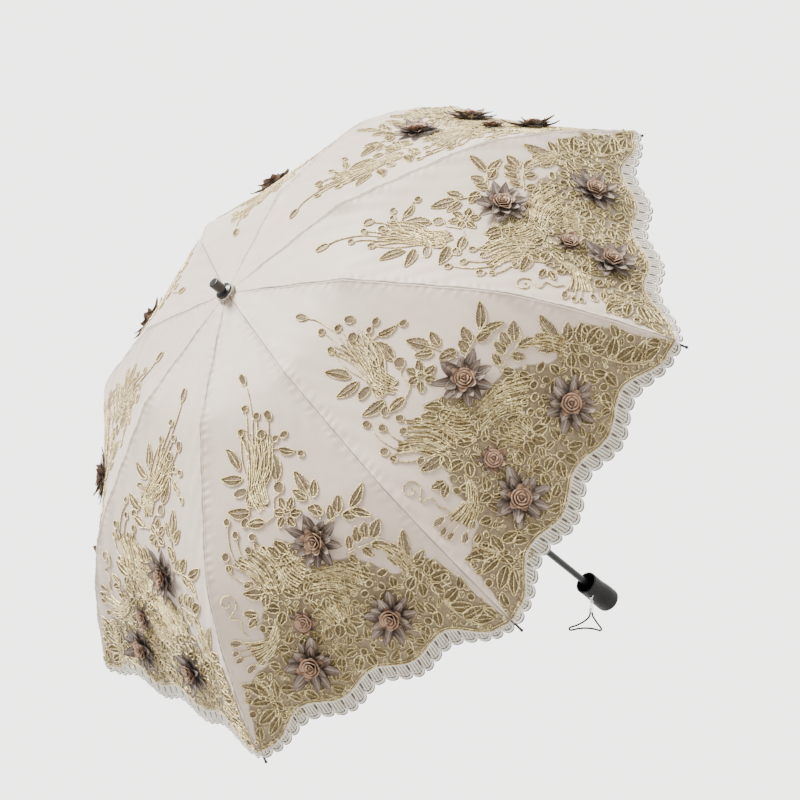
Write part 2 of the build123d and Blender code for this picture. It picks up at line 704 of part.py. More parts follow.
def flower_plane(azimuth, radius, share):
    """The plane of a panel at a flower, facing outward."""
    reach = 4.0
    turn = 0.02
    centre = gore_point(azimuth, radius, share)
    slope = gore_point(azimuth, radius + reach, share) - gore_point(azimuth, radius - reach, share)
    across = gore_point(azimuth, radius, share + turn) - gore_point(azimuth, radius, share - turn)
    normal = across.cross(slope).normalized()
    if normal.Z < 0:
        normal = normal * -1
    return Plane(origin=centre + normal * FLOWER_LIFT, x_dir=slope.normalized(), z_dir=normal)


flower_places = []
for index in range(1, RIBS + 1):
    for radius, share in BIG_FLOWERS:
        flower_places.append((flower_plane(rib_azimuth(index), radius, share), BIG_FLOWER_RADIUS))
    flower_places.append((flower_plane(rib_azimuth(index), *SMALL_FLOWER), SMALL_FLOWER_RADIUS))

with BuildPart() as lace_flowers:
    for place, size in flower_places:
        with BuildSketch(place):
            Circle(size * 0.6)
        with BuildSketch(place.offset(FLOWER_HEIGHT)):
            Circle(size)
        loft()
save(lace_flowers.part, "lace_flowers")

# ---------------------------------------------------------------- wrist loop

down = Vector(
    sin(radians(CHAIN_TILT)) * cos(radians(CHAIN_AZIMUTH)),
    sin(radians(CHAIN_TILT)) * sin(radians(CHAIN_AZIMUTH)),
    -cos(radians(CHAIN_TILT)),
)
eyelet_across = Vector(0, 0, 1).cross(eyelet_out)
eyelet_centre = eyelet_out * GRIP_MOUTH_RADIUS + Vector(0, 0, EYELET_HEIGHT)
hang_point = eyelet_centre + eyelet_out * EYELET_RADIUS

with BuildPart() as strap_eyelet:
    with Locations(Plane(origin=eyelet_centre)):
        Torus(EYELET_RADIUS, EYELET_WIRE)
save(strap_eyelet.part, "strap_eyelet")

link_axis = (eyelet_across - down * eyelet_across.dot(down)).normalized()
cross_axis = down.cross(link_axis)
link_hang = LINK_RADIUS - LINK_WIRE - EYELET_WIRE - LINK_PLAY
link_step = 2 * (LINK_RADIUS - LINK_WIRE - LINK_PLAY)
link_centres = [hang_point + down * (link_hang + number * link_step) for number in range(LINKS)]
with BuildPart() as strap_chain:
    for number, centre in enumerate(link_centres):
        facing = link_axis if number % 2 == 0 else cross_axis
        with Locations(Plane(origin=centre, z_dir=facing)):
            Torus(LINK_RADIUS, LINK_WIRE)
save(strap_chain.part, "strap_chain")

crimp_eye = link_centres[-1] + down * (LINK_RADIUS + CRIMP_RING - 2 * LINK_WIRE - 2 * LAYER_GAP)
crimp_top = crimp_eye + down * (CRIMP_RING - LAYER_GAP)
with BuildPart() as strap_crimp:
    with Locations(Plane(origin=crimp_eye, z_dir=cross_axis)):
        Torus(CRIMP_RING, LINK_WIRE)
    with BuildSketch(Plane(origin=crimp_top, z_dir=down)):
        Circle(CRIMP_RADIUS)
    extrude(amount=CRIMP_LENGTH)
save(strap_crimp.part, "strap_crimp")

# The loop's route: right and down from the crimp's mouth, in the loop's own flat plane.
loop_tilt = Vector(0.7432, 0.2459, -0.6222)
loop_right = (loop_tilt - down * loop_tilt.dot(down)).normalized()
loop_top = crimp_top + down * CRIMP_LENGTH
loop_route = [
    (-1.25, 0.0),
    (-1.25, 3.6),
    (-4.1, 7.7),
    (-9.0, 11.6),
    (-15.2, 15.0),
    (-20.6, 17.2),
    (-24.6, 18.1),
    (-27.3, 19.4),
    (-27.1, 22.0),
    (-23.8, 22.2),
    (-17.0, 20.3),
    (-8.6, 19.6),
    (-0.2, 20.0),
    (6.8, 21.5),
    (10.8, 23.0),
    (13.2, 21.4),
    (11.2, 18.2),
    (7.4, 13.4),
    (4.0, 8.2),
    (1.25, 4.1),
    (1.25, 0.0),
]
route_points = [loop_top + loop_right * right + down * fall for right, fall in loop_route]


def corner_radii(points):
    """An arc for each corner, as large as its two runs allow."""
    radii = []
    for before, corner, after in zip(points, points[1:], points[2:]):
        shorter = min((corner - before).length, (after - corner).length)
        turn = (corner - before).get_angle(after - corner)
        radii.append(ROUNDING * shorter / tan(radians(turn) / 2))
    return radii


loop_radii = corner_radii(route_points)
with BuildPart() as wrist_strap:
    with BuildLine() as loop_path:
        FilletPolyline(*route_points, radius=loop_radii)
    with BuildSketch(Plane(origin=route_points[0], z_dir=loop_path.wire() % 0)):
        Circle(CORD_RADIUS)
    sweep(path=loop_path.wire())
save(wrist_strap.part, "wrist_strap")
cord_length = loop_path.wire().length
full_volume = pi * CORD_RADIUS ** 2 * cord_length
print("cord radii", [round(radius, 1) for radius in loop_radii])
print("cord length", round(cord_length, 1), "volume share", wrist_strap.part.volume / full_volume)

# ---------------------------------------------------------------- the linkage, for reference

print("crown pivot", CROWN_PIVOT, "runner pivot", RUNNER_PIVOT)
print("stretcher pin", STRETCHER_PIN, "stretcher", STRETCHER_LENGTH)
print("elbow pins", ELBOW_1_PIN, ELBOW_2_PIN, "rod", ROD_START, ROD_END)
print("pitches", INNER_PITCH, MIDDLE_PITCH, OUTER_PITCH, STRETCHER_PITCH)
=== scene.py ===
import json
import math
from collections import namedtuple

import bmesh
import bpy
import numpy as np
from mathutils import Matrix, Vector


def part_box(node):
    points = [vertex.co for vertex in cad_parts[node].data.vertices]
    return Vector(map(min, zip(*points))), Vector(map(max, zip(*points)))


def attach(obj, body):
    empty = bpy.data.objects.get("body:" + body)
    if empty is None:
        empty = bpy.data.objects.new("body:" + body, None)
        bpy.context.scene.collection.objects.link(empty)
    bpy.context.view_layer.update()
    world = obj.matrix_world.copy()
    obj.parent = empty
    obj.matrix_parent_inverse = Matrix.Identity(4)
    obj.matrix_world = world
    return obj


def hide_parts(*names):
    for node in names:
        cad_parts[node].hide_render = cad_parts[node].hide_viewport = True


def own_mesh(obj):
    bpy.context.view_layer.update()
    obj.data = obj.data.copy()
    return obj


# A folding lace parasol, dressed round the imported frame. Objects are in metres. The panel's
# pattern is drawn flat, in millimetres: x across a panel and s down it from the hub.

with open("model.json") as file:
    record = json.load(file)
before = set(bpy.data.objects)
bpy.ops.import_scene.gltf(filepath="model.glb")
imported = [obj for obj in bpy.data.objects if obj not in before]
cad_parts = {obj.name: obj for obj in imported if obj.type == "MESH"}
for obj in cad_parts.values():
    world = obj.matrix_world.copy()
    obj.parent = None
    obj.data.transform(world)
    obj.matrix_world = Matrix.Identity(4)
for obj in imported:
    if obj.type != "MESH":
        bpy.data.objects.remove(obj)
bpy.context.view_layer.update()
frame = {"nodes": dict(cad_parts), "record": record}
random_draw = np.random.default_rng(11)

MM = 0.001
RIBS = 8
STEP = 2 * math.pi / RIBS
HALF_COS = math.cos(STEP / 2)
HALF_SIN = math.sin(STEP / 2)



def add_object(name, data):
    made = bpy.data.objects.new(name, data)
    bpy.context.scene.collection.objects.link(made)
    return made


# ---------------- camera

CAMERA_PLACE = (1.6024, -1.1188, 1.8688)
CAMERA_RIGHT = Vector((0.7432, 0.2459, -0.6222))
CAMERA_UP = Vector((0.1466, 0.8476, 0.5101))
CAMERA_BACK = Vector((0.6528, -0.4703, 0.5939))
CAMERA_LENS = 96.6  # millimetres, for a sensor 36 mm wide


def make_camera():
    data = bpy.data.cameras.new("camera")
    data.sensor_width = 36.0
    data.lens = CAMERA_LENS
    data.clip_end = 60.0
    camera = add_object("camera", data)
    axes = Matrix((CAMERA_RIGHT, CAMERA_UP, CAMERA_BACK))
    camera.matrix_world = Matrix.Translation(CAMERA_PLACE) @ axes.transposed().to_4x4()
    bpy.context.scene.camera = camera


make_camera()

# ---------------- materials


class Paint:
    """A node material in the making. Texture scales are per metre, on the object's own coordinates."""

    def __init__(self, name, metallic=0.0, **constants):
        self.material = bpy.data.materials.new(name)
        self.material.use_nodes = True
        self.tree = self.material.node_tree
        self.shader = self.tree.nodes["Principled BSDF"]
        self.shader.inputs["Metallic"].default_value = metallic
        for name, value in constants.items():
            self.shader.inputs[name.replace("_", " ")].default_value = value
        self.place = self.tree.nodes.new("ShaderNodeTexCoord").outputs["Object"]

    def node(self, kind, inputs=(), **settings):
        made = self.tree.nodes.new(kind)
        for name, value in settings.items():
            setattr(made, name, value)
        for name, value in dict(inputs).items():
            if isinstance(value, bpy.types.NodeSocket):
                self.tree.links.new(value, made.inputs[name])
            else:
                made.inputs[name].default_value = value
        return made

    def noise(self, scale, detail):
        made = self.node("ShaderNodeTexNoise", {"Vector": self.place, "Scale": scale, "Detail": detail})
        return made.outputs[0]

    def cells(self, scale):
        """Distance to the nearest edge of a net of cells."""
        inputs = {"Vector": self.place, "Scale": scale}
        return self.node("ShaderNodeTexVoronoi", inputs, feature="DISTANCE_TO_EDGE").outputs[0]

    def twist(self, scale, distortion):
        """Slanting bands, as on twill or twisted thread."""
        inputs = {"Vector": self.place, "Scale": scale, "Distortion": distortion, "Detail": 1.0}
        return self.node("ShaderNodeTexWave", inputs, bands_direction="DIAGONAL").outputs["Fac"]

    def ramp(self, share, low, high, near=(0, 0, 0), far=(1, 1, 1)):
        """From the near colour where share is low to the far one where it is high."""
        made = self.node("ShaderNodeValToRGB", {"Fac": share})
        made.color_ramp.elements[0].position = low
        made.color_ramp.elements[0].color = (*near, 1)
        made.color_ramp.elements[1].position = high
        made.color_ramp.elements[1].color = (*far, 1)
        return made.outputs[0]

    def mix(self, share, near, far, blend="MIX"):
        made = self.node("ShaderNodeMix", data_type="RGBA", blend_type=blend)
        for slot, value in ((0, share), (6, near), (7, far)):
            if isinstance(value, bpy.types.NodeSocket):
                self.tree.links.new(value, made.inputs[slot])
            else:
                made.inputs[slot].default_value = (*value, 1) if slot else value
        return made.outputs[2]

    def cloud(self, scale, detail, *ramp):
        """Noise seen through a ramp."""
        return self.ramp(self.noise(scale, detail), *ramp)

    def add(self, first, second):
        return self.node("ShaderNodeMath", {0: first, 1: second}, operation="ADD").outputs[0]

    def multiply(self, first, second):
        return self.node("ShaderNodeMath", {0: first, 1: second}, operation="MULTIPLY").outputs[0]

    def attribute(self, name):
        return self.node("ShaderNodeAttribute", attribute_name=name).outputs["Fac"]

    def colour(self, socket):
        self.tree.links.new(socket, self.shader.inputs["Base Color"])
        return self

    def rough(self, share, low, high):
        made = self.node("ShaderNodeMapRange", {"Value": share, "To Min": low, "To Max": high})
        self.tree.links.new(made.outputs[0], self.shader.inputs["Roughness"])
        return self

    def bump(self, height, distance, strength=1.0):
        """Relief up to that distance, in metres."""
        made = self.node("ShaderNodeBump", {"Height": height, "Distance": distance, "Strength": strength})
        self.tree.links.new(made.outputs[0], self.shader.inputs["Normal"])
        return self


def plain_paint(name, shades, scale, grain, depth, low, high, **constants):
    """A finish whose colour wanders between two shades, with a fine grain."""
    paint = Paint(name, **constants)
    paint.colour(paint.cloud(scale, 4.0, 0.3, 0.7, *shades))
    paint.rough(paint.noise(scale * 2.3, 3.0), low, high)
    paint.bump(paint.noise(grain, 2.0), depth)
    return paint.material


def satin_paint():
    """Ivory satin: a fine twill, a faint slub, net shown over it where the lace is, half of the net's colour
    painted shadow, and a painted shade line in each seam's groove.
    """
    paint = Paint("ivory_satin", Sheen_Weight=0.25, Sheen_Roughness=0.4, Specular_IOR_Level=0.35)
    satin = paint.cloud(60.0, 4.0, 0.25, 0.75, (0.57, 0.46, 0.365), (0.635, 0.525, 0.425))
    holes = paint.cells(620.0)
    thread = paint.ramp(holes, 0.03, 0.25, (0.32, 0.25, 0.148), (0.187, 0.143, 0.08))
    # Painted shadow under the net, mixed half and half with its threads where the net lies.
    shadow = paint.cloud(190.0, 4.0, 0.35, 0.7, (0.096, 0.072, 0.039), (0.285, 0.224, 0.132))
    cover = paint.ramp(paint.attribute("net"), 0.3, 0.7)
    covered = paint.mix(cover, satin, paint.mix(0.5, thread, shadow))
    # Painted shade: a dark line in each seam's groove, where the seam attribute is high.
    paint.colour(paint.mix(paint.attribute("seam"), covered, (0.16, 0.14, 0.12)))
    paint.rough(paint.noise(240.0, 3.0), 0.36, 0.5)
    twill = paint.add(paint.twist(900.0, 1.5), paint.noise(2200.0, 2.0))
    paint.bump(paint.mix(cover, twill, paint.ramp(holes, 0.0, 0.2)), 0.00012, 0.6)
    return paint.material


GLINTING = ((0.36, 0.33, 0.27), (1.5, 1.5, 1.45))  # painted glints and shade: how far a thread's colour swings, darker and lighter, along it
# The same painted glints and shade, fainter, for the border's threads.
QUIET = ((0.85, 0.84, 0.82), (1.02, 1.02, 1.02))


def thread_paint(name, dark, light, metallic, glint=GLINTING):
    """Twisted embroidery thread, its twist in the bump, with painted glints and shade in its colour along
    it.
    """
    paint = Paint(name, metallic=metallic, Sheen_Weight=0.1, Specular_IOR_Level=0.6)
    broad = paint.cloud(110.0, 3.0, 0.3, 0.7, dark, light)
    # Painted glints and shade: fine patches that darken the thread or light it past its own colour.
    painted_glints = paint.cloud(620.0, 3.0, 0.34, 0.68, *glint)
    paint.colour(paint.mix(1.0, broad, painted_glints, "MULTIPLY"))
    paint.rough(paint.noise(500.0, 2.0), 0.3, 0.55)
    paint.bump(paint.twist(1500.0, 4.0), 0.0002, 0.7)
    return paint.material


def petal_paint(name, base, middle, tip, vein, edge):
    """Organza: darker at the foot of a petal, deepened there into painted shade between the petals, pale at
    its tip, with painted highlights along its veins and a dark edge, partly its own outline and partly
    painted shade where petals overlap.
    """
    paint = Paint(name, Sheen_Weight=0.12, Sheen_Roughness=0.35, Specular_IOR_Level=0.3)
    reach = paint.attribute("reach")
    low = paint.ramp(reach, 0.05, 0.5, base, middle)
    whole = paint.mix(paint.ramp(reach, 0.4, 0.95), low, tip)
    line = paint.attribute("vein")
    # Painted highlights along the veins, brightest away from the foot.
    painted_highlight = paint.multiply(paint.ramp(line, 0.55, 1.0), paint.ramp(reach, 0.1, 0.5))
    # A darker edge, partly painted shade where petals overlap; random blotches of darker tone.
    dark = paint.ramp(line, 0.05, 0.45, (1, 1, 1), (0, 0, 0))
    blotch = paint.cloud(260.0, 4.0, 0.44, 0.64)
    edge_shaded = paint.mix(paint.multiply(dark, 0.8), whole, edge)
    blotched = paint.mix(paint.multiply(blotch, 0.45), edge_shaded, edge)
    paint.colour(paint.mix(paint.multiply(painted_highlight, 0.7), blotched, vein))
    paint.rough(paint.noise(300.0, 3.0), 0.34, 0.55)
    paint.bump(paint.add(line, paint.noise(1500.0, 2.0)), 0.0004, 0.7)
    return paint.material


SATIN = satin_paint()
GOLD = thread_paint("gold_thread", (0.50, 0.375, 0.16), (0.95, 0.81, 0.46), 0.5)
OLIVE = thread_paint("olive_stitching", (0.19, 0.137, 0.056), (0.40, 0.305, 0.135), 0.35)
CREAM = thread_paint("cream_border", (0.87, 0.81, 0.69), (0.98, 0.94, 0.85), 0.0, QUIET)
# The border's net, its own tone darkened as painted shade between the bars.
SHADED_VEIL = thread_paint("border_net_and_shade", (0.33, 0.275, 0.2), (0.5, 0.43, 0.33), 0.0, QUIET)
UMBER = thread_paint("border_outline", (0.07, 0.05, 0.03), (0.14, 0.105, 0.065), 0.0, QUIET)
# Petal shades: near-black base and edge are partly painted shade between the petals; the bright streak
# colour is a painted highlight, on the frill its painted shine.
MAUVE = petal_paint(
    "mauve_petal", base=(0.026, 0.016, 0.01), middle=(0.08, 0.052, 0.035), tip=(0.21, 0.15, 0.108),
    vein=(0.68, 0.575, 0.485), edge=(0.018, 0.011, 0.007),
)
ROSE = petal_paint(
    "rose_petal", base=(0.018, 0.008, 0.004), middle=(0.085, 0.042, 0.023), tip=(0.30, 0.18, 0.108),
    vein=(0.44, 0.29, 0.19), edge=(0.04, 0.018, 0.01),
)
FRILL = petal_paint(
    "rosette_frill", base=(0.38, 0.31, 0.21), middle=(0.66, 0.58, 0.46), tip=(0.80, 0.74, 0.64),
    vein=(0.86, 0.80, 0.70), edge=(0.44, 0.36, 0.25),
)
GRIP_SHADES = ((0.003, 0.0026, 0.0028), (0.0055, 0.0048, 0.005))
TUBE_SHADES = ((0.002, 0.002, 0.0022), (0.0045, 0.0044, 0.0048))
MOULDED_SHADES = ((0.003, 0.003, 0.0032), (0.006, 0.0058, 0.006))
RIB_SHADES = ((0.016, 0.016, 0.018), (0.04, 0.04, 0.043))
ROD_SHADES = ((0.014, 0.014, 0.015), (0.03, 0.03, 0.032))
WIRE_SHADES = ((0.45, 0.45, 0.46), (0.62, 0.62, 0.63))
PLATE_SHADES = ((0.66, 0.66, 0.67), (0.84, 0.84, 0.85))
BRAID_SHADES = ((0.004, 0.004, 0.004), (0.009, 0.009, 0.009))

# After the shades: the scale of their wander, the grain's scale and depth, roughness from and to.
FINISHES = {
    "grip": plain_paint("charcoal_grip", GRIP_SHADES, 90, 2600, 0.00012, 0.4, 0.6, Specular_IOR_Level=0.1),
    "tube": plain_paint("black_tube", TUBE_SHADES, 120, 3000, 0.00003, 0.24, 0.4, Specular_IOR_Level=0.2),
    "plastic": plain_paint("moulded_black", MOULDED_SHADES, 150, 1800, 0.00006, 0.16, 0.3),
    "rib_steel": plain_paint("lacquered_steel", RIB_SHADES, 140, 2600, 0.00004, 0.28, 0.45, metallic=0.6),
    "rib_outer": plain_paint("fibre_rod", ROD_SHADES, 200, 2400, 0.00005, 0.35, 0.55),
    "wire": plain_paint("drawn_wire", WIRE_SHADES, 300, 2600, 0.00003, 0.22, 0.4, metallic=1.0),
    "silver": plain_paint("bright_plate", PLATE_SHADES, 260, 2200, 0.00002, 0.12, 0.26, metallic=1.0),
    "cord": plain_paint("black_braid", BRAID_SHADES, 400, 2400, 0.0001, 0.4, 0.6, Specular_IOR_Level=0.2),
    "cloth": SATIN,
    "lace": GOLD,
    "flower": MAUVE,
}
for row in frame["record"]["subparts"]:
    mesh = frame["nodes"][row["node"]].data
    mesh.materials.clear()
    mesh.materials.append(FINISHES[row["material_slot"]])

# ---------------- wrist loop

EYELET_TURN = math.radians(-73.9)
EYELET_REACH = 0.017  # from the shaft's axis to where the chain hangs
EYELET_HEIGHT = 0.015
CHAIN_TURN = math.radians(-99.8)
CHAIN_TILT = math.radians(59.3)
CHAIN_LENGTH = 0.01785  # with the crimp, from the eyelet to the crimp's mouth
CORD_RADIUS = 0.00115
# The cord's route from the crimp's mouth, in the loop's flat plane: right and down.
LOOP_ROUTE = (
    (-0.00125, 0), (-0.00125, 0.0036), (-0.0041, 0.0077), (-0.009, 0.0116), (-0.0152, 0.015),
    (-0.0206, 0.0172), (-0.0246, 0.0181), (-0.0273, 0.0194), (-0.0271, 0.022), (-0.0238, 0.0222),
    (-0.017, 0.0203), (-0.0086, 0.0196), (-0.0002, 0.02), (0.0068, 0.0215), (0.0108, 0.023),
    (0.0132, 0.0214), (0.0112, 0.0182), (0.0074, 0.0134), (0.004, 0.0082), (0.00125, 0.0041), (0.00125, 0),
)

eyelet_out = Vector((math.cos(EYELET_TURN), math.sin(EYELET_TURN), 0))
chain_side = math.sin(CHAIN_TILT)
down = Vector((chain_side * math.cos(CHAIN_TURN), chain_side * math.sin(CHAIN_TURN), -math.cos(CHAIN_TILT)))
loop_right = (CAMERA_RIGHT - down * CAMERA_RIGHT.dot(down)).normalized()
loop_top = eyelet_out * EYELET_REACH + Vector((0, 0, EYELET_HEIGHT)) + down * CHAIN_LENGTH


def make_loop():
    data = bpy.data.curves.new("strap_cord", "CURVE")
    data.dimensions = "3D"
    data.bevel_depth = CORD_RADIUS
    data.bevel_resolution = 4
    data.resolution_u = 12
    data.use_fill_caps = True
    line = data.splines.new("NURBS")
    line.points.add(len(LOOP_ROUTE) - 1)
    for point, (right, fall) in zip(line.points, LOOP_ROUTE):
        point.co = (*(loop_top + loop_right * right + down * fall), 1)
    line.order_u = 3
    line.use_endpoint_u = True
    made = add_object("strap_cord", data)
    data.materials.append(FINISHES["cord"])
    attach(made, "strap")
    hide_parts("wrist_strap")


make_loop()



def lengths(rows):
    return np.linalg.norm(rows, axis=-1, keepdims=True)


def round_points(out, angle, up):
    """Points about the z axis."""
    return np.stack((out * np.cos(angle), out * np.sin(angle), up), -1)


# ---------------- the canopy's surface

HUB_Z = 0.692
ELBOWS = ((0.150, 0.023), (0.285, 0.088))  # radius and drop of the cloth over a rib's two elbows
CORNER = (0.425, 0.231)  # the same over the rib's tip
OUTER_BOW = 0.0095
ELBOW_ROUNDING = 9  # millimetres each side of an elbow, over a rib
OPEN_ROUNDING = 80  # the same in the middle of a panel
PANEL_SAG = 0.006
SAG_POWER = 1.6  # how late the sag grows towards the hem
EDGE_REACH = 0.4605  # the tables go a little past the hem
RIDGE_HEIGHT, RIDGE_AT, RIDGE_WIDTH = 0.0006, 0.0016, 0.0009  # rolled cloth beside a seam
GROOVE_DEPTH, GROOVE_WIDTH = 0.0005, 0.0005
PUCKER_HEIGHT, PUCKER_AT, PUCKER_WIDTH, PUCKER_PITCH = 0.00032, 0.004, 0.006, 0.0105
FOLD_HEIGHT, FOLD_REACH, FOLD_PITCH, FOLD_START = 0.0005, 0.028, 0.021, 0.02
DRIFT_HEIGHT = 0.0007
PROBE = 0.0002  # step for working out normals

elbow_1, elbow_2 = ELBOWS
knot_radius = np.array([-1.0, 0.0, elbow_1[0], elbow_2[0], CORNER[0]])
knot_height = HUB_Z - np.array([-elbow_1[1] / elbow_1[0], 0.0, elbow_1[1], elbow_2[1], CORNER[1]])
outer_pitch = math.atan2(CORNER[1] - elbow_2[1], CORNER[0] - elbow_2[0])
RADII = np.arange(0.0, EDGE_REACH, MM)


def seam_line(radius):
    """Height of the cloth over a rib, sharp at the elbows."""
    share = (radius - elbow_2[0]) / (CORNER[0] - elbow_2[0])
    outer = knot_height[3] + share * (knot_height[4] - knot_height[3])
    outer += 4 * OUTER_BOW * share * (1 - share) / math.cos(outer_pitch)
    return np.where(share > 0, outer, np.interp(radius, knot_radius, knot_height))


def rounded_line(reach):
    """The seam line averaged over that many millimetres each side, with its slope."""
    wide = np.arange(-0.090, EDGE_REACH + 0.090, MM)
    kernel = np.hanning(2 * reach + 1)
    smooth = np.interp(RADII, wide, np.convolve(seam_line(wide), kernel / kernel.sum(), "same"))
    return smooth, np.gradient(smooth, RADII)


HEIGHT, SLOPE = rounded_line(ELBOW_ROUNDING)
OPEN_HEIGHT, OPEN_SLOPE = rounded_line(OPEN_ROUNDING)
ARC = np.concatenate(([0.0], np.cumsum(np.hypot(HALF_COS, (SLOPE[1:] + SLOPE[:-1]) / 2) * np.diff(RADII))))
JOIN_1, JOIN_2 = (float(np.interp(elbow[0], RADII, ARC)) for elbow in ELBOWS)


def half_width(s):
    return np.interp(s, ARC, RADII) * HALF_SIN


def hump(distance, width):
    return np.exp(-((distance / width) ** 2))


def relief(x, s, half):
    """The seam's rolled ridge and its pucker, and the cloth's slack wrinkles, off the true surface."""
    gap = half - np.abs(x)
    near = np.minimum(1.0, half / 0.02)
    ridge = RIDGE_HEIGHT * hump(gap - RIDGE_AT, RIDGE_WIDTH) - GROOVE_DEPTH * hump(gap, GROOVE_WIDTH)
    beat = np.sin(s * 2 * np.pi / PUCKER_PITCH + np.sin(s * 90) * 1.3 + np.sign(x))
    pucker = PUCKER_HEIGHT * beat * hump(gap - PUCKER_AT, PUCKER_WIDTH)
    slant = np.sin(np.abs(x) * 2 * np.pi / FOLD_PITCH + s * 35.0 + np.sin(s * 31))
    folds = FOLD_HEIGHT * slant * np.exp(-gap / FOLD_REACH) * (s > FOLD_START)
    drift = DRIFT_HEIGHT * np.sin(x * 47.0 + s * 21.0 + 1.0) * np.sin(s * 33.0 - x * 11.0)
    free = np.minimum(1.0, gap / 0.02) * np.minimum(1.0, s / 0.1)
    return near * (ridge + pucker + folds) + drift * free


def surface(x, s, height, turn):
    """Points over the panel whose middle is at that azimuth, x positive clockwise seen from above."""
    radius = np.interp(s, ARC, RADII)
    half = radius * HALF_SIN
    share = np.minimum(1.0, np.abs(x) / np.maximum(half, 1e-6))
    at_rib = share**3
    slope = np.interp(radius, RADII, SLOPE) * at_rib + np.interp(radius, RADII, OPEN_SLOPE) * (1 - at_rib)
    line = np.interp(radius, RADII, HEIGHT) * at_rib + np.interp(radius, RADII, OPEN_HEIGHT) * (1 - at_rib)
    run = np.hypot(HALF_COS, slope)
    sag = PANEL_SAG * (radius / CORNER[0]) ** SAG_POWER * (1 - share**2)
    lift = height + relief(x, s, half) - sag
    out = radius * HALF_COS - lift * slope / run
    up = line + lift * HALF_COS / run
    c, n = math.cos(turn), math.sin(turn)
    return np.stack((out * c + x * n, out * n - x * c, up), axis=-1)


def surface_normals(x, s, turn):
    across = surface(x + PROBE, s, 0.0, turn) - surface(x - PROBE, s, 0.0, turn)
    along = surface(x, s + PROBE, 0.0, turn) - surface(x, s - PROBE, 0.0, turn)
    n = np.cross(along, across)
    n /= lengths(n)
    return np.where(n[..., 2:] < 0, -n, n)


# ---------------- the panel's lines, in mm

SCALLOPS = 23
SCALLOP_DEPTH = 6.0
HEM_MIDDLE = 471.5  # s of the hem in the middle of a panel
HEM_WAVE = 6.0
HEM_WAVE_LENGTH = 92
HEM_CREST = 45  # x of the wave's lowest point
CORNER_START = 92  # x where the hem turns down to the rib's tip
CORNER_WIDTH = 50
CORNER_LOW = 465.5
CORNER_DROP = 13.5
BORDER_DEPTH = 16.0  # of the border past the satin, and less at a tip
TIP_BORDER_DEPTH = 7.0
# The top of the net over the satin.
NET_TOP = (
    (-165, 476), (-150, 446), (-138, 408), (-128, 384), (-112, 372), (-96, 376), (-80, 378), (-64, 356),
    (-46, 340), (-30, 336), (-8, 330), (4, 300), (22, 286), (40, 306), (60, 336), (78, 352), (96, 396),
    (112, 398), (136, 410), (150, 446), (165, 478),
)
NET_EDGE = 6.0  # width over which it fades in
net_x, net_s = np.array(NET_TOP, float).T


def corner_rise(x):
    """From 0 in a panel's middle to 1 at its ribs, eased."""
    rise = np.clip((np.abs(x) - CORNER_START) / CORNER_WIDTH, 0, 1)
    return rise * rise * (3 - 2 * rise)


def hem(x):
    """Where the lace ends, through the middle of its scallops."""
    side = np.abs(x)
    wave = HEM_MIDDLE + HEM_WAVE * np.cos(2 * np.pi * (side - HEM_CREST) / HEM_WAVE_LENGTH)
    return np.where(side < CORNER_START, wave, CORNER_LOW + CORNER_DROP * corner_rise(x))


def satin_edge(x):
    """Where the satin ends under the border."""
    return hem(x) - BORDER_DEPTH + (BORDER_DEPTH - TIP_BORDER_DEPTH) * corner_rise(x)


def net_cover(x, s):
    """How much net lies over the satin, from 0 to 1."""
    return np.clip((s - np.interp(x, net_x, net_s)) / NET_EDGE + 0.5, 0, 1)


# ---------------- meshes from arrays


def new_mesh(name, points, corners, starts, kinds, materials, facts=(), normals=None):
    """A mesh object from flat arrays: points, every face's corners in turn, where each face starts."""
    data = bpy.data.meshes.new(name)
    data.vertices.add(len(points))
    data.vertices.foreach_set("co", np.ascontiguousarray(points, np.float32).ravel())
    data.loops.add(len(corners))
    data.loops.foreach_set("vertex_index", np.ascontiguousarray(corners, np.int32))
    data.polygons.add(len(starts))
    data.polygons.foreach_set("loop_start", np.ascontiguousarray(starts, np.int32))
    data.polygons.foreach_set("material_index", np.ascontiguousarray(kinds, np.int32))
    for material in materials:
        data.materials.append(material)
    data.update(calc_edges=True)
    data.validate()
    data.polygons.foreach_set("use_smooth", np.ones(len(data.polygons), bool))
    for key, values in dict(facts).items():
        fact = data.attributes.new(key, "FLOAT", "POINT")
        fact.data.foreach_set("value", np.ascontiguousarray(np.concatenate(values), np.float32))
    if normals is not None:
        data.normals_split_custom_set(normals)
    return add_object(name, data)


def quad_mesh(name, points, quads, kinds, *more, **extra):
    return new_mesh(name, points, quads.ravel(), np.arange(len(quads)) * 4, kinds, *more, **extra)


def thick_grid(outer, inner):
    """A closed skin from two matching grids of points: its points and its quads."""
    rows, columns = outer.shape[:2]
    index = np.arange(rows * columns).reshape(rows, columns)
    under = index + rows * columns
    quads = [
        np.stack((index[:-1, :-1], index[1:, :-1], index[1:, 1:], index[:-1, 1:]), -1).reshape(-1, 4),
        np.stack((under[:-1, :-1], under[:-1, 1:], under[1:, 1:], under[1:, :-1]), -1).reshape(-1, 4),
    ]
    for edge in (index[0, :], index[:, -1], index[-1, ::-1], index[::-1, 0]):
        low = edge + rows * columns
        quads.append(np.stack((edge[:-1], edge[1:], low[1:], low[:-1]), -1))
    return np.concatenate((outer.reshape(-1, 3), inner.reshape(-1, 3))), np.concatenate(quads)


def gather(skins):
    """The points and the quads of several skins as one."""
    first = np.cumsum([0] + [len(points) for points, _ in skins])
    quads = [quads + start for (_, quads), start in zip(skins, first)]
    return np.concatenate([points for points, _ in skins]), np.concatenate(quads)


# ---------------- satin

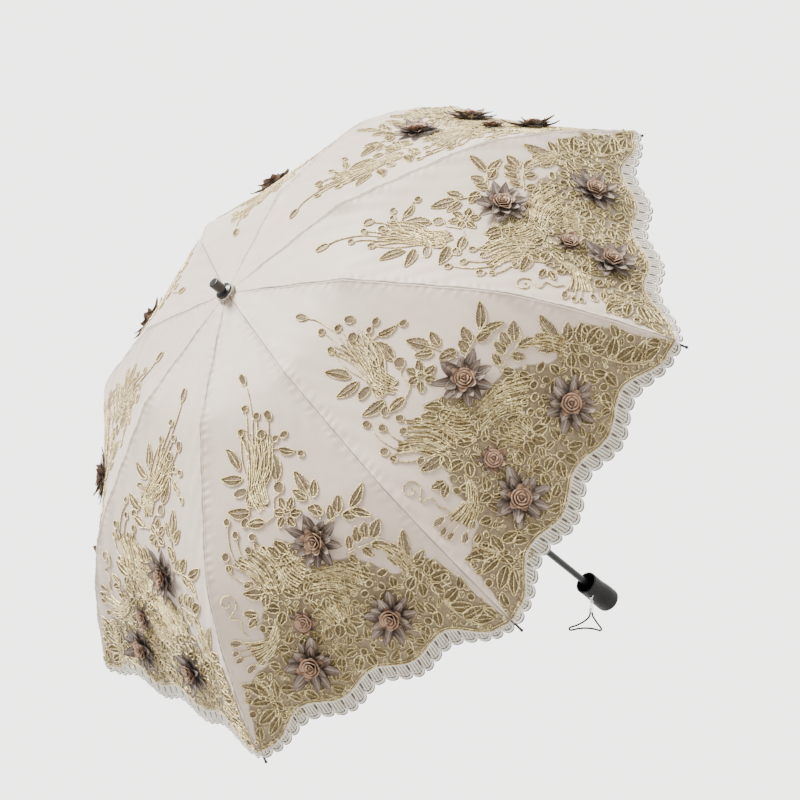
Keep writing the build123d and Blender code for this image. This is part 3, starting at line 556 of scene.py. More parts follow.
CLOTH_THICKNESS = 0.0004
HUB_HOLE = 0.0066
SEAM_GAPS = np.array([0.0, 0.45, 0.9, 1.5, 2.2, 3.0, 4.2, 6.0, 8.5, 12.0, 16.0]) * MM
FULL_SEAM = 0.034  # half width from which these gaps aren't narrowed
OPEN_COLUMNS = 22
ROW_PITCH = 0.0042
HEM_REACH = 0.46  # first guess of a hem piece's end
HEM_PASSES = 12
# Half width of the painted shade line in a seam's groove.
SEAM_SHADE_WIDTH = 0.0006
UNDER_NET_SHADOW = 0.25  # how much of the net is painted on the underside, as the lace's shadow through the satin
RIB_PARTS = {"inner": (HUB_HOLE, JOIN_1), "middle": (JOIN_1, JOIN_2), "outer": (JOIN_2, None)}


def cloth_rows(part, side):
    """Grids of x and s for half a panel, from its rib at column 0 to its middle."""
    start, end = RIB_PARTS[part]
    seams = len(SEAM_GAPS)
    steps = np.arange(1, OPEN_COLUMNS + 1) / OPEN_COLUMNS
    limit = np.full((1, seams + OPEN_COLUMNS), end or HEM_REACH)
    share = np.linspace(0, 1, int(round((limit[0, 0] - start) / ROW_PITCH)) + 1)[:, None]
    for _ in range(1 if end else HEM_PASSES):
        s = start + share * (limit - start)
        half = half_width(s)
        gap = np.empty_like(s)
        gap[:, :seams] = SEAM_GAPS * np.minimum(1.0, half[:, :seams] / FULL_SEAM)
        last = gap[:, seams - 1 : seams]
        gap[:, seams:] = last + (half[:, seams:] - last) * steps
        x = side * (half - gap)
        x[:, -1] = 0.0
        if not end:
            limit = satin_edge(x[-1:] / MM) * MM
    return x, s


def flat_area(x, s):
    down_panel = np.abs(np.diff((s[:, 1:] + s[:, :-1]) / 2, axis=0))
    return float(np.sum(down_panel * np.abs(np.diff(x, axis=1))[:-1]))


def cloth_piece(part, number):
    """The satin round one rib, from the middle of one panel to the middle of the next, and its flat area."""
    rib_turn = (number - 1) * STEP
    across = np.array((-math.sin(rib_turn), math.cos(rib_turn), 0.0))
    skins, facts, normals, area = [], {"net": [], "seam": []}, [], 0.0
    for side in (-1, 1):
        turn = rib_turn + side * STEP / 2
        x, s = cloth_rows(part, side)
        area += flat_area(x, s)
        n = surface_normals(x, s, turn)
        n[:, 0] -= (n[:, 0] @ across)[:, None] * across
        n[:, 0] /= lengths(n[:, 0])
        outer = surface(x, s, 0.0, turn)
        points, quads = thick_grid(outer, outer - n * CLOTH_THICKNESS)
        skins.append((points, quads[:, ::-1] if side < 0 else quads))
        normals += [n.reshape(-1, 3), -n.reshape(-1, 3)]
        cover = net_cover(x / MM, s / MM).ravel()
        # The seam attribute: where the painted shade line lies in the seam's groove, on both skins.
        seam = hump(half_width(s) - np.abs(x), SEAM_SHADE_WIDTH).ravel()
        # Underneath, the net shows only as its painted shadow through the satin.
        facts["net"] += [cover, cover * UNDER_NET_SHADOW]
        facts["seam"] += [seam, seam]
    points, quads = gather(skins)
    a, b, c, d = (points[quads[:, corner]] for corner in range(4))
    face_normals = np.cross(c - a, d - b)
    face_normals /= np.maximum(lengths(face_normals), 1e-12)
    corner_normals = np.concatenate(normals)[quads]
    rim = np.abs(np.einsum("ij,ij->i", face_normals, corner_normals[:, 0])) < 0.5
    corner_normals[rim] = face_normals[rim][:, None]
    name = f"canopy_{part}_{number}"
    kinds = np.zeros(len(quads))
    return quad_mesh(name, points, quads, kinds, [SATIN], facts, corner_normals.reshape(-1, 3)), area


# ---------------- lace, drawn flat

THREAD, STITCH, BORDER, NET_BAND, OUTLINE = range(5)
LACE_THREADS = [GOLD, OLIVE, CREAM, SHADED_VEIL, UMBER]
CORD_PROFILE = ((-1, 0), (-0.55, 1), (0.55, 1), (1, 0))  # across and up, as shares of half width and height
STITCH_END_RISE = 0.35
STITCH_FACES = np.array(((0, 1, 4, 3), (1, 2, 5, 4), (3, 4, 7, 6), (4, 5, 8, 7), (0, 3, 5, 2), (3, 6, 8, 5)))


class Lace:
    """Closed quads drawn flat on one panel: x, s and height, in mm, each with its kind of thread."""

    def __init__(self):
        self.points, self.quads, self.kinds, self.count = [], [], [], 0

    def add(self, points, quads, kind):
        self.points.append(points)
        self.quads.append(quads + self.count)
        self.kinds.append(np.full(len(quads), kind))
        self.count += len(points)

    def cord(self, path, width, tall, kind=THREAD, closed=False, low=0.15, pitch=2.0, smooth=True):
        """A thread laid along a path, flat underneath."""
        path = even_path(path, pitch, closed, smooth)
        ahead = np.roll(path, -1, 0) - np.roll(path, 1, 0)
        if not closed:
            ahead[0], ahead[-1] = path[1] - path[0], path[-1] - path[-2]
        ahead /= np.maximum(lengths(ahead), 1e-9)
        side = np.stack((-ahead[:, 1], ahead[:, 0]), 1)
        rings = []
        for across, up in CORD_PROFILE:
            flat = path + side * (across * width / 2)
            rings.append(np.column_stack((flat, np.full(len(path), low + up * tall))))
        points = np.stack(rings, 1)
        count = len(path)
        index = np.arange(count * 4).reshape(count, 4)
        following = np.roll(index, -1, 0)
        quads = np.stack((index, np.roll(index, -1, 1), np.roll(following, -1, 1), following), -1)
        if not closed:
            ends = np.stack((index[0], index[-1, ::-1]))
            quads = np.concatenate((quads[:-1].reshape(-1, 4), ends))
        self.add(points.reshape(-1, 3), quads.reshape(-1, 4), kind)

    def band(self, at, top, bottom, kind, low, thick=0.25, rows=5):
        """A closed strip of net between two lines down the panel."""
        s = top[:, None] + (bottom - top)[:, None] * np.linspace(0, 1, rows)[None, :]
        outer = np.stack((at[:, None] + 0 * s, s, np.full_like(s, low + thick)), -1)
        points, quads = thick_grid(outer, outer - np.array((0, 0, thick)))
        self.add(points, quads, kind)

    def stitch(self, starts, ends, width, tall, kind=STITCH, low=0.1):
        """Straight stitches, all at once, domed in their middle."""
        starts, ends = np.atleast_2d(starts), np.atleast_2d(ends)
        ahead = ends - starts
        side = np.stack((-ahead[:, 1], ahead[:, 0]), 1) / np.maximum(lengths(ahead), 1e-9) * width / 2
        points = []
        for at in (starts, (starts + ends) / 2, ends):
            rise = STITCH_END_RISE if at is starts or at is ends else 1.0
            for across, up in ((-1, 0), (0, rise), (1, 0)):
                points.append(np.column_stack((at + side * across, np.full(len(at), low + up * tall))))
        points = np.stack(points, 1)
        base = np.arange(len(starts))[:, None, None] * 9
        self.add(points.reshape(-1, 3), (base + STITCH_FACES).reshape(-1, 4), kind)

    def leaf(self, foot, tip, width, bend=0.0, pitch=1.75, edge=1.2):
        """A corded leaf: an outline, a midrib, slanting stitches between them."""
        foot, tip = np.array(foot, float), np.array(tip, float)
        long = float(np.linalg.norm(tip - foot))
        ahead = (tip - foot) / long
        side = np.array((-ahead[1], ahead[0]))
        lobe_count = max(2, round(long / 5))

        def middle(t):
            return foot + np.outer(t, tip - foot) + np.outer(4 * t * (1 - t) * bend * long, side)

        def half(t):
            lobes = 1 + 0.1 * np.sin(2 * np.pi * t * lobe_count - 1.2)
            return width / 2 * np.sin(np.pi * np.clip(t, 0, 1) ** 0.82) ** 0.75 * lobes

        t = np.linspace(0, 1, max(8, int(long / 1.5)))
        line = middle(t)
        rim = np.concatenate((line + np.outer(half(t), side), (line - np.outer(half(t), side))[-2:0:-1]))
        self.cord(rim, edge, 1.0, closed=True, low=0.25, smooth=False, pitch=1.5)
        rows = np.arange(0.06, 0.94, pitch / long)
        lean = 2.6 / long
        for way in (1, -1):
            roots = middle(rows)
            reach = np.clip(rows + lean, 0, 1)
            ends = middle(reach) + np.outer(half(reach) * way * 0.95, side)
            self.stitch(roots, ends, pitch * 0.66, 0.62)
        self.cord(middle(np.linspace(0.02, 0.9, 5)), 0.8, 1.0, low=0.2, pitch=3.2)

    def bead(self, x, s, wide, tall, turn=0.0, edge=1.3):
        """A small corded oval, filled with cross stitches."""
        angle = np.linspace(0, 2 * np.pi, 11)[:-1]
        c, n = math.cos(math.radians(turn)), math.sin(math.radians(turn))
        u, v = np.cos(angle) * wide / 2, np.sin(angle) * tall / 2
        outline = np.stack((x + u * c - v * n, s + u * n + v * c), 1)
        self.cord(outline, edge, 1.15, closed=True, low=0.25, pitch=1.9)
        rows = np.arange(-0.7, 0.71, 1.6 / (tall / 2))
        reach = np.sqrt(1 - rows**2) * wide / 2 * 0.9
        left = np.stack((-reach, rows * tall / 2), 1)
        right = np.stack((reach, rows * tall / 2), 1)
        spin = np.array(((c, n), (-n, c)))
        place = np.array((x, s))
        self.stitch(left @ spin + place, right @ spin + place, 0.95, 0.6)


def even_path(points, pitch, closed, smooth):
    """A path's points at an even pitch, rounded through them when smooth."""
    points = np.array(points, float)
    if smooth and len(points) > 2:
        before = np.vstack((points[-1] if closed else 2 * points[0] - points[1], points[:-1]))
        after = np.vstack((points[1:], points[0] if closed else 2 * points[-1] - points[-2]))
        slopes = (after - before) / 2
        spans = len(points) if closed else len(points) - 1
        t = np.linspace(0, 1, 7)[:-1, None]
        bits = []
        for i in range(spans):
            a, b = points[i], points[(i + 1) % len(points)]
            ma, mb = slopes[i], slopes[(i + 1) % len(points)]
            onto_b = 3 * t**2 - 2 * t**3
            bits.append((1 - onto_b) * a + (t**3 - 2 * t**2 + t) * ma + onto_b * b + (t**3 - t**2) * mb)
        points = np.concatenate(bits if closed else [*bits, points[-1:]])
    if closed:
        points = np.vstack((points, points[:1]))
    run = np.concatenate(([0], np.cumsum(np.linalg.norm(np.diff(points, axis=0), axis=1))))
    count = max(3, int(round(run[-1] / pitch)))
    at = np.linspace(0, run[-1], count + 1)
    if closed:
        at = at[:-1]
    return np.stack((np.interp(at, run, points[:, 0]), np.interp(at, run, points[:, 1])), 1)


# Leaves: x and s of the foot, of the tip, width.
LEAVES = (
    (23, 237, 12, 252, 10), (28, 232, 36, 248, 9), (40, 336, 28, 350, 10), (56, 330, 66, 346, 10),
    (31, 206, 38, 178, 11), (31, 216, 56, 204, 11), (-20, 207, -37, 219, 8), (-5, 236, -11, 205, 14),
    (36, 251, 61, 239, 12), (24, 267, 46, 260, 10), (-33, 264, -28, 236, 13), (-38, 270, -47, 254, 10),
    (-30, 268, -18, 252, 10), (-42, 288, -26, 276, 12), (-72, 297, -97, 283, 11), (-70, 300, -90, 316, 9),
    (-56, 296, -66, 280, 12), (-46, 300, -52, 284, 11), (-60, 300, -76, 309, 11), (-78, 334, -96, 322, 13),
    (-72, 332, -80, 317, 12), (-62, 332, -68, 316, 11), (-74, 340, -92, 350, 10), (-64, 338, -70, 352, 10),
    (-50, 334, -56, 320, 9), (-46, 338, -52, 350, 9), (-4, 268, -16, 258, 9), (-3, 266, -2, 252, 9),
    (0, 268, 11, 262, 9), (-6, 272, -19, 276, 9), (2, 272, 13, 279, 9), (-2, 274, -6, 286, 9),
    (22, 350, 27, 316, 15), (57, 331, 82, 320, 12), (14, 306, 24, 288, 11), (26, 306, 34, 290, 10),
    (78, 346, 92, 338, 9), (80, 350, 94, 354, 9), (-100, 374, -114, 342, 13), (-96, 368, -94, 348, 11),
    (-92, 372, -82, 358, 10), (-104, 378, -122, 370, 11), (-110, 392, -128, 382, 12),
    (-112, 398, -134, 400, 12), (-100, 396, -94, 410, 11), (-108, 404, -118, 416, 11),
    (-112, 424, -134, 418, 12), (-114, 430, -136, 440, 12), (-120, 446, -146, 446, 12),
    (-124, 454, -148, 462, 10), (-98, 428, -92, 444, 11), (112, 428, 118, 402, 13), (114, 424, 136, 402, 12),
    (116, 430, 138, 424, 11), (108, 430, 100, 412, 11), (118, 440, 142, 446, 12), (116, 448, 140, 462, 11),
    (100, 424, 84, 432, 11), (104, 446, 92, 456, 10), (-8, 394, -22, 404, 12), (-4, 396, -8, 412, 12),
    (2, 394, 12, 406, 12), (0, 390, 14, 386, 10), (-8, 388, -20, 382, 10), (-84, 396, -98, 388, 10),
    (-72, 388, -76, 376, 9), (52, 352, 68, 344, 11), (50, 356, 62, 366, 10), (66, 372, 78, 362, 10),
    (-14, 432, -26, 444, 11), (-6, 434, -6, 450, 11), (2, 432, 14, 446, 11), (20, 424, 30, 440, 10),
    (-80, 436, -70, 450, 11), (78, 438, 68, 450, 11), (86, 404, 96, 396, 10), (-34, 346, -46, 354, 10),
    (-22, 348, -24, 362, 10), (6, 336, -4, 348, 10), (66, 392, 78, 386, 9),
)
# Beads: x, s, width, height, and the turn in degrees where there is one.
BEADS = (
    (-4, 117, 8, 15, 12), (2, 149, 8, 8), (-9, 164, 9, 8), (-22, 170, 9, 12, 20), (-7, 184, 11, 10),
    (15, 171, 8, 9, -20), (-32, 197, 10, 7), (-21, 196, 8, 7), (-43, 224, 9, 7, -30), (39, 228, 17, 9, -10),
    (5, 222, 10, 9), (-5, 243, 12, 12), (29, 243, 14, 10), (46, 258, 11, 9, 20), (66, 248, 8, 8),
    (62, 264, 8, 8), (45, 274, 8, 8), (55, 284, 8, 8), (82, 279, 9, 9), (69, 297, 8, 8), (39, 291, 8, 9),
    (72, 315, 10, 7), (-4, 268, 7, 7), (-69, 369, 12, 7), (-50, 372, 9, 7), (-40, 379, 9, 7),
    (-30, 373, 8, 7), (-25, 383, 8, 7), (116, 362, 13, 7, -20), (122, 371, 9, 6), (122, 379, 9, 6),
    (116, 392, 11, 7, 20), (101, 391, 9, 7), (-125, 390, 9, 9), (-140, 432, 8, 8), (142, 434, 8, 8),
    (84, 291, 7, 8), (-6, 394, 8, 8), (-4, 430, 8, 8), (112, 412, 7, 7),
)
# Stems: the points they pass.
STEMS = (
    ((-5, 124), (-7, 134), (-6, 148), (-3, 165), (3, 180), (10, 196), (18, 214), (25, 230)),
    ((2, 153), (4, 164), (9, 178), (15, 196), (22, 218)),
    ((-8, 168), (-4, 178), (4, 192), (14, 212)),
    ((-20, 176), (-15, 188), (-5, 200), (8, 214)),
    ((-6, 189), (2, 198), (12, 212)),
    ((16, 175), (21, 186), (25, 202), (26, 222)),
    ((-26, 197), (-12, 201), (2, 208), (14, 220)),
    ((-20, 207), (-8, 203), (4, 210)),
    ((-43, 221), (-36, 217)),
    ((-5, 249), (4, 250), (8, 258), (12, 266), (24, 268)),
    ((30, 232), (30, 244), (26, 256)),
    ((46, 262), (36, 262), (26, 267)),
    ((66, 252), (71, 262), (74, 276), (73, 290), (66, 302), (56, 318)),
    ((62, 268), (65, 280), (63, 294), (56, 308), (46, 322)),
    ((45, 278), (48, 288), (45, 300), (39, 314)),
    ((55, 288), (54, 300), (48, 314)),
    ((82, 284), (84, 294), (80, 304), (72, 313), (60, 324)),
    ((68, 301), (62, 312), (54, 324)),
    ((39, 295), (38, 306), (34, 318)),
    ((-88, 337), (-74, 338), (-60, 336), (-44, 336)),
    ((-74, 299), (-60, 298), (-46, 298), (-38, 300)),
    ((-33, 262), (-35, 276), (-36, 292)),
    ((-108, 345), (-102, 362), (-104, 380), (-110, 398), (-110, 420), (-118, 444), (-134, 462)),
    ((116, 404), (112, 424), (116, 444), (130, 462)),
    ((80, 376), (92, 372), (106, 366)),
    ((80, 378), (96, 376), (116, 372)),
    ((80, 380), (98, 381), (117, 379)),
    ((80, 382), (96, 387), (110, 391)),
    ((78, 384), (88, 390), (97, 391)),
)
# Fans of laid cords: the line they start along, the line they end along, how many, their bow.
FANS = (
    ((-20, 192), (17, 170), (17, 240), (29, 230), 12, 0.10),
    ((6, 224), (28, 226), (12, 254), (26, 256), 8, -0.05),
    ((42, 282), (80, 290), (34, 340), (60, 330), 14, 0.14),
    ((-2, 334), (16, 352), (-58, 366), (-26, 378), 13, 0.12),
    ((-14, 336), (4, 338), (-44, 352), (-20, 366), 8, 0.10),
    ((14, 300), (36, 318), (2, 330), (24, 346), 9, -0.08),
    ((60, 356), (64, 372), (84, 374), (84, 386), 7, 0.05),
    ((86, 372), (84, 386), (108, 364), (106, 392), 9, 0.04),
    ((-92, 352), (-76, 340), (-108, 378), (-92, 384), 7, 0.10),
    ((-20, 372), (20, 372), (-14, 392), (10, 392), 12, 0.05),
)
# Spirals: middle, smallest and largest radius, start and turn in degrees, the tail's points.
SPIRALS = (
    ((103, 322), 2.0, 10.5, 200, -430, ((108, 337), (98, 344), (103, 353), (100, 363))),
    ((-128, 404), 1.6, 7.0, 20, 460, ((-118, 410),)),
    ((134, 414), 1.6, 6.0, 160, -300, ((124, 424),)),
    ((-30, 392), 1.6, 6.5, 0, 420, ((-22, 388),)),
    ((22, 398), 1.6, 6.5, 180, -260, ((12, 392),)),
)
# Flowers: middle and radius.
FLOWERS = ((-20, 310, 30), (-52, 413, 30), (55, 418, 31))
SMALL_ROSE = (35, 375, 15)


def draw_fans(lace):
    """Raised cords with lower, broader ones between them, their ends ragged."""
    for *ends, count, bow in FANS:
        start_a, start_b, end_a, end_b = (np.array(point, float) for point in ends)
        for step in range(2 * count - 1):
            share = step / (2 * count - 2)
            first = start_a + (start_b - start_a) * share
            last = end_a + (end_b - end_a) * share
            first = first + (first - last) * random_draw.uniform(-0.14, 0.06)
            last = last + (last - first) * random_draw.uniform(-0.16, 0.06)
            ahead = last - first
            side = np.array((-ahead[1], ahead[0])) * (bow + random_draw.normal(0, 0.02))
            path = (first, (first + last) / 2 + side, last)
            if step % 2:
                lace.cord(path, 2.0, 0.4, low=0.1, pitch=3.0, kind=STITCH)
            else:
                lace.cord(path, 1.25, 1.2, low=0.25, pitch=3.0)


def draw_spirals(lace):
    for (x, s), small, large, start, turn, tail in SPIRALS:
        t = np.linspace(0, 1, 15)
        angle = np.radians(start + turn * t)
        size = small + (large - small) * t
        curl = np.stack((x + size * np.cos(angle), s + size * np.sin(angle)), 1)
        lace.cord(np.vstack((curl, tail)), 1.5, 1.2, pitch=1.9)


def open_net(x, s, size):
    """Whether a motif of that size fits on the worked net there."""
    inside = half_width(s * MM) / MM - abs(x)
    top, foot = np.interp(x, net_x, net_s) + size * 0.3, satin_edge(x) - size * 0.5
    return top < s < foot and inside > size * 0.55


def in_field(across, down_panel, field):
    """A place from two numbers between 0 and 1."""
    width, top, height = field
    return (across - 0.5) * width, top + down_panel * height


VINES = 64
VINE_FIELD = (300, 250, 210)  # width of the field that they start in, its top, its height
VINE_STEP = 4.2
VINE_STEPS = 11
SHORTEST_VINE = 6
CURL_STEPS = 8


def draw_vines(lace):
    """Long thin stems that wander over the net and end in a curl."""
    for number, (x, s, turn, bend) in enumerate(random_draw.uniform(size=(VINES, 4))):
        x, s = in_field(x, s, VINE_FIELD)
        turn, bend = turn * 2 * np.pi, (bend - 0.5) * 0.5
        path = []
        for step in range(VINE_STEPS):
            if not open_net(x, s, 4):
                break
            path.append((x, s))
            x, s = x + VINE_STEP * math.cos(turn), s + VINE_STEP * math.sin(turn)
            turn += bend + 0.25 * math.sin(step * 0.8 + number)
        if len(path) < SHORTEST_VINE:
            continue
        radius = 5.5
        way = 1 if bend > 0 else -1
        for step in range(CURL_STEPS):
            turn += way * (0.55 + 0.07 * step)
            radius *= 0.86
            x, s = x + radius * 0.55 * math.cos(turn), s + radius * 0.55 * math.sin(turn)
            if open_net(x, s, 2):
                path.append((x, s))
        lace.cord(path, 0.8, 0.85, low=0.15, pitch=2.2)


# Filling, from the largest motifs to the smallest: size, tries, least gap as a share of the size.
FILLING = ((14.0, 700, 0.34), (10.5, 1300, 0.34), (7.5, 2600, 0.36), (4.8, 4200, 0.38))
FILLING_FIELD = (316, 238, 232)
SPRIG_SIZE = 12  # motifs above this are always leaves


def draw_filling(lace):
    """Sprigs, curls and beads, so the net is worked all over."""
    taken = [((x1 + x2) / 2, (s1 + s2) / 2, width * 0.5 + 1.5) for x1, s1, x2, s2, width in LEAVES]
    taken += [(x, s, max(wide, tall) * 0.5 + 1.0) for x, s, wide, tall, *_ in BEADS]
    taken += [(x, s, r * 0.55) for x, s, r in (*FLOWERS, SMALL_ROSE)]
    taken = [np.array(t, float) for t in taken]
    for size, tries, gap in FILLING:
        for x, s, turn, pick in random_draw.uniform(size=(tries, 4)):
            x, s = in_field(x, s, FILLING_FIELD)
            turn *= 2 * np.pi
            if not open_net(x, s, size):
                continue
            if any(math.hypot(x - t[0], s - t[1]) < t[2] + size * gap for t in taken):
                continue
            taken.append(np.array((x, s, size * 0.42)))
            way = np.array((math.cos(turn), math.sin(turn)))
            foot, tip = np.array((x, s)) - way * size * 0.55, np.array((x, s)) + way * size * 0.55
            if pick < 0.5 or size > SPRIG_SIZE:
                lace.leaf(foot, tip, size * 0.66, bend=0.1 if pick < 0.25 else -0.1, edge=1.0)
            elif pick < 0.66:
                lace.bead(x, s, size * 0.85, size * 0.7, math.degrees(turn), edge=1.0)
            else:
                t = np.linspace(0, 1, 9)
                angle, reach = turn + 5.6 * t, size * (0.08 + 0.5 * t)
                lace.cord(np.stack((x + reach * np.cos(angle), s + reach * np.sin(angle)), 1), 0.85, 0.9)


RIM_OUT = 1.6  # of the scallops' tops past the hem
RIM_END = 0.472  # s, in metres, of the rim's corners
RIM_POINTS = 8  # along each scallop
BARS = 4  # in each scallop
BAR_FAN = 1.6  # how far a scallop's bars spread at their foot
# Cords along the scallops' rim: offset, width, height, thread, low side, pitch.
RIM_CORDS = (
    (-1.1, 2.7, 1.7, BORDER, -0.6, 1.7),
    (0.7, 1.4, 1.0, OUTLINE, -0.5, 1.7),
    (-2.9, 0.8, 1.1, OUTLINE, -0.4, 2.0),
    (-4.2, 1.3, 1.1, BORDER, -0.4, 2.0),
)
# The same along the satin's edge.
EDGE_CORDS = (
    (-0.4, 1.2, 1.2, THREAD, 0.1, 2.0),
    (-2.6, 1.0, 1.1, THREAD, 0.15, 2.0),
    (1.2, 1.6, 1.2, BORDER, -0.4, 2.0),
)


def rim_path():
    """The scalloped outer line, from one rib to the next, as x and s."""
    edge = float(half_width(RIM_END)) / MM
    at = np.linspace(-1, 1, SCALLOPS * RIM_POINTS + 1) * edge
    lobe = np.abs(((np.arange(len(at)) / RIM_POINTS) % 1.0) * 2 - 1)
    return at, hem(at) + RIM_OUT - SCALLOP_DEPTH * (1 - np.sqrt(np.maximum(0, 1 - lobe**2)))


def edge_cords(lace, at, line, cords):
    for offset, width, tall, kind, low, pitch in cords:
        lace.cord(np.stack((at, line + offset), 1), width, tall, kind, smooth=False, low=low, pitch=pitch)


def draw_border(lace):
    """The white border: a band of net, cords along both edges, bars and dividers in the scallops."""
    at, rim = rim_path()
    inner = satin_edge(at)
    edge_cords(lace, at, rim, RIM_CORDS)
    # The net band, in its painted-shade colour between the bars.
    lace.band(at, inner - 1.0, rim - 0.6, NET_BAND, -0.75)
    edge_cords(lace, at, inner, EDGE_CORDS)
    for scallop in range(SCALLOPS):
        x, foot = float(at[scallop * RIM_POINTS]), float(rim[scallop * RIM_POINTS])
        divider = ((x, float(satin_edge(x)) + 2.0), (x, foot))
        lace.cord(divider, 1.1, 1.3, OUTLINE, low=-0.3, pitch=3.0, smooth=False)
        for bar in range(BARS):
            share = (bar + 0.5) / BARS
            column = (scallop + share) / SCALLOPS * (len(at) - 1)
            x = float(np.interp(column, np.arange(len(at)), at))
            head = (x - (share - 0.5) * BAR_FAN, float(satin_edge(x)) - 0.5)
            foot = (x, float(np.interp(x, at, rim)) - 0.8)
            lace.cord((head, foot), 2.1, 1.0, BORDER, low=-0.45, pitch=4.0, smooth=False)


EDGE_GAP = 0.8  # least distance of the lace from a seam


def draw_lace():
    """The whole panel's lace: its points in mm, its quads and their threads."""
    lace = Lace()
    for *ends, width in LEAVES:
        lace.leaf(ends[:2], ends[2:], width, bend=random_draw.uniform(-0.07, 0.07))
    for bead in BEADS:
        lace.bead(*bead)
    for stem in STEMS:
        lace.cord(stem, 1.35, 1.15)
    draw_fans(lace)
    draw_spirals(lace)
    draw_vines(lace)
    draw_filling(lace)
    draw_border(lace)
    points = np.concatenate(lace.points)
    limit = half_width(points[:, 1] * MM) / MM - EDGE_GAP
    points[:, 0] = np.clip(points[:, 0], -limit, limit)
    return points, np.concatenate(lace.quads), np.concatenate(lace.kinds)


def read_numbers(items, key, width=1, kind=np.int64):
    numbers = np.empty(len(items) * width, kind)
    items.foreach_get(key, numbers)
    return numbers


def cut_lace():
    """The drawn panel cut at its middle and at both elbow lines, as arrays."""
    points, quads, kinds = draw_lace()
    made = quad_mesh("lace_pattern", points * MM, quads, kinds, LACE_THREADS)
    data = made.data
    cutter = bmesh.new()
    cutter.from_mesh(data)
    for place, way in (((0, 0, 0), (1, 0, 0)), ((0, JOIN_1, 0), (0, 1, 0)), ((0, JOIN_2, 0), (0, 1, 0))):
        whole = [*cutter.verts, *cutter.edges, *cutter.faces]
        bmesh.ops.bisect_plane(cutter, geom=whole, plane_co=place, plane_no=way, dist=1e-7)
    cutter.to_mesh(data)
    cutter.free()
    points = read_numbers(data.vertices, "co", 3, float).reshape(-1, 3)
    corners = read_numbers(data.loops, "vertex_index")
    starts = read_numbers(data.polygons, "loop_start")
    kinds = read_numbers(data.polygons, "material_index")
    bpy.data.objects.remove(made)
    return points, corners, starts, kinds


def part_of_lace(cut, part, side):
    """The faces of one side and one rib part, with their own points."""
    points, corners, starts, kinds = cut
    sizes = np.append(starts[1:], len(corners)) - starts
    middles = np.add.reduceat(points[corners], starts, axis=0) / sizes[:, None]
    low, high = LACE_PARTS[part]
    chosen = (middles[:, 1] >= low) & (middles[:, 1] < high) & (middles[:, 0] * side > 0)
    kept, mapped = np.unique(corners[np.repeat(chosen, sizes)], return_inverse=True)
    new_starts = np.concatenate(([0], np.cumsum(sizes[chosen])[:-1]))
    return points[kept], mapped.ravel(), new_starts, kinds[chosen]


LACE_LIFT = 0.0001
LACE_PARTS = {"inner": (0, JOIN_1), "middle": (JOIN_1, JOIN_2), "outer": (JOIN_2, 1)}


def lace_piece(cut, part, number):
    """One rib part's lace, from the half panels on both sides of the rib."""
    rib_turn = (number - 1) * STEP
    sides = []
    count = corner_count = 0
    for side in (-1, 1):
        points, corners, starts, kinds = part_of_lace(cut, part, side)
        turn = rib_turn + side * STEP / 2
        placed = surface(points[:, 0], points[:, 1], points[:, 2] + LACE_LIFT, turn)
        sides.append((placed, corners + count, starts + corner_count, kinds))
        count += len(points)
        corner_count += len(corners)
    arrays = [np.concatenate(both) for both in zip(*sides)]
    return new_mesh(f"lace_{part}_{number}", *arrays, LACE_THREADS)


# ---------------- sewn flowers


PETAL_GRID = (8, 9)  # points along a petal and across it
PETAL_THICKNESS = 0.4
PETAL_FLOOR = 0.6  # no petal dips nearer the cloth than this, in mm
FLOWER_LIFT = 0.0008  # in metres
CURLED_GRID = (6, 7)
CURLED_THICKNESS = 0.45
BUD_GRID = (6, 11)
MAUVE_KIND, ROSE_KIND = range(2)
Ring = namedtuple("Ring", "count long wide rise curl cup kind sharp")
Shell = namedtuple("Shell", "count radius tall spread")


def grid_lines(size, across_from=-1.0, across_to=1.0):
    """A column that runs from 0 to 1 and a row that runs across."""
    return np.linspace(0, 1, size[0])[:, None], np.linspace(across_from, across_to, size[1])[None, :]


def petal(long, wide, rise, curl, cup, turn, sharp):
    """One petal as two grids, in mm, growing along +x from the flower's middle, turned about +z."""
    t, y = grid_lines(PETAL_GRID)
    half = np.maximum(wide / 2 * (np.sin(np.pi * (0.06 + 0.94 * t) ** 0.85) ** sharp), 0.25)
    x = 1.0 + (long - 1.0) * t * (1 - 0.04 * y**2)
    across = half * y
    crease = -0.9 * (1 - np.abs(y)) * np.sin(np.pi * t) ** 0.7
    wave = 0.35 * np.sin(3 * np.pi * t + 2 * y) * np.abs(y)
    bowl = cup * y**2 * np.sin(np.pi * np.minimum(t + 0.1, 1))
    up = rise * np.sin(t * np.pi / 2) + curl * t**3 + bowl + crease + wave
    c, n = math.cos(turn), math.sin(turn)
    outer = np.stack((x * c - across * n, x * n + across * c, up), -1)
    # Highlight lines: painted highlights along the midrib and two side veins, fading to the tip; the rim
    # lowered for a darker edge.
    vein = hump(y, 0.2) + 0.4 * hump(np.abs(y) - 0.5, 0.1)
    vein = 0.5 + 0.5 * vein * (1 - 0.4 * t) - 0.5 * (np.abs(y) > 0.9)
    return outer, outer - np.array((0, 0, PETAL_THICKNESS)), np.broadcast_to(t, PETAL_GRID), vein


def curled_petal(radius, tall, spread, turn):
    """One petal of a rose's heart: a shell wrapped round the middle, its lip rolled out."""
    t, a = grid_lines(CURLED_GRID)
    lip = np.clip((t - 0.7) / 0.3, 0, 1) ** 2
    out = radius * (0.45 + 0.5 * np.sin(t * np.pi / 2)) + 0.5 * t + lip * 1.5
    angle = turn + a * spread
    up = tall * t * (1 - 0.28 * np.abs(a) ** 2.2) - lip * 0.9 + 0.4
    outer = round_points(out, angle, up)
    away = round_points(1 + 0 * t, angle, 0 * up)
    # The rolled lip carries a painted highlight.
    return outer, outer - away * CURLED_THICKNESS, np.broadcast_to(t, CURLED_GRID), 0.5 + 0.4 * lip + 0 * a


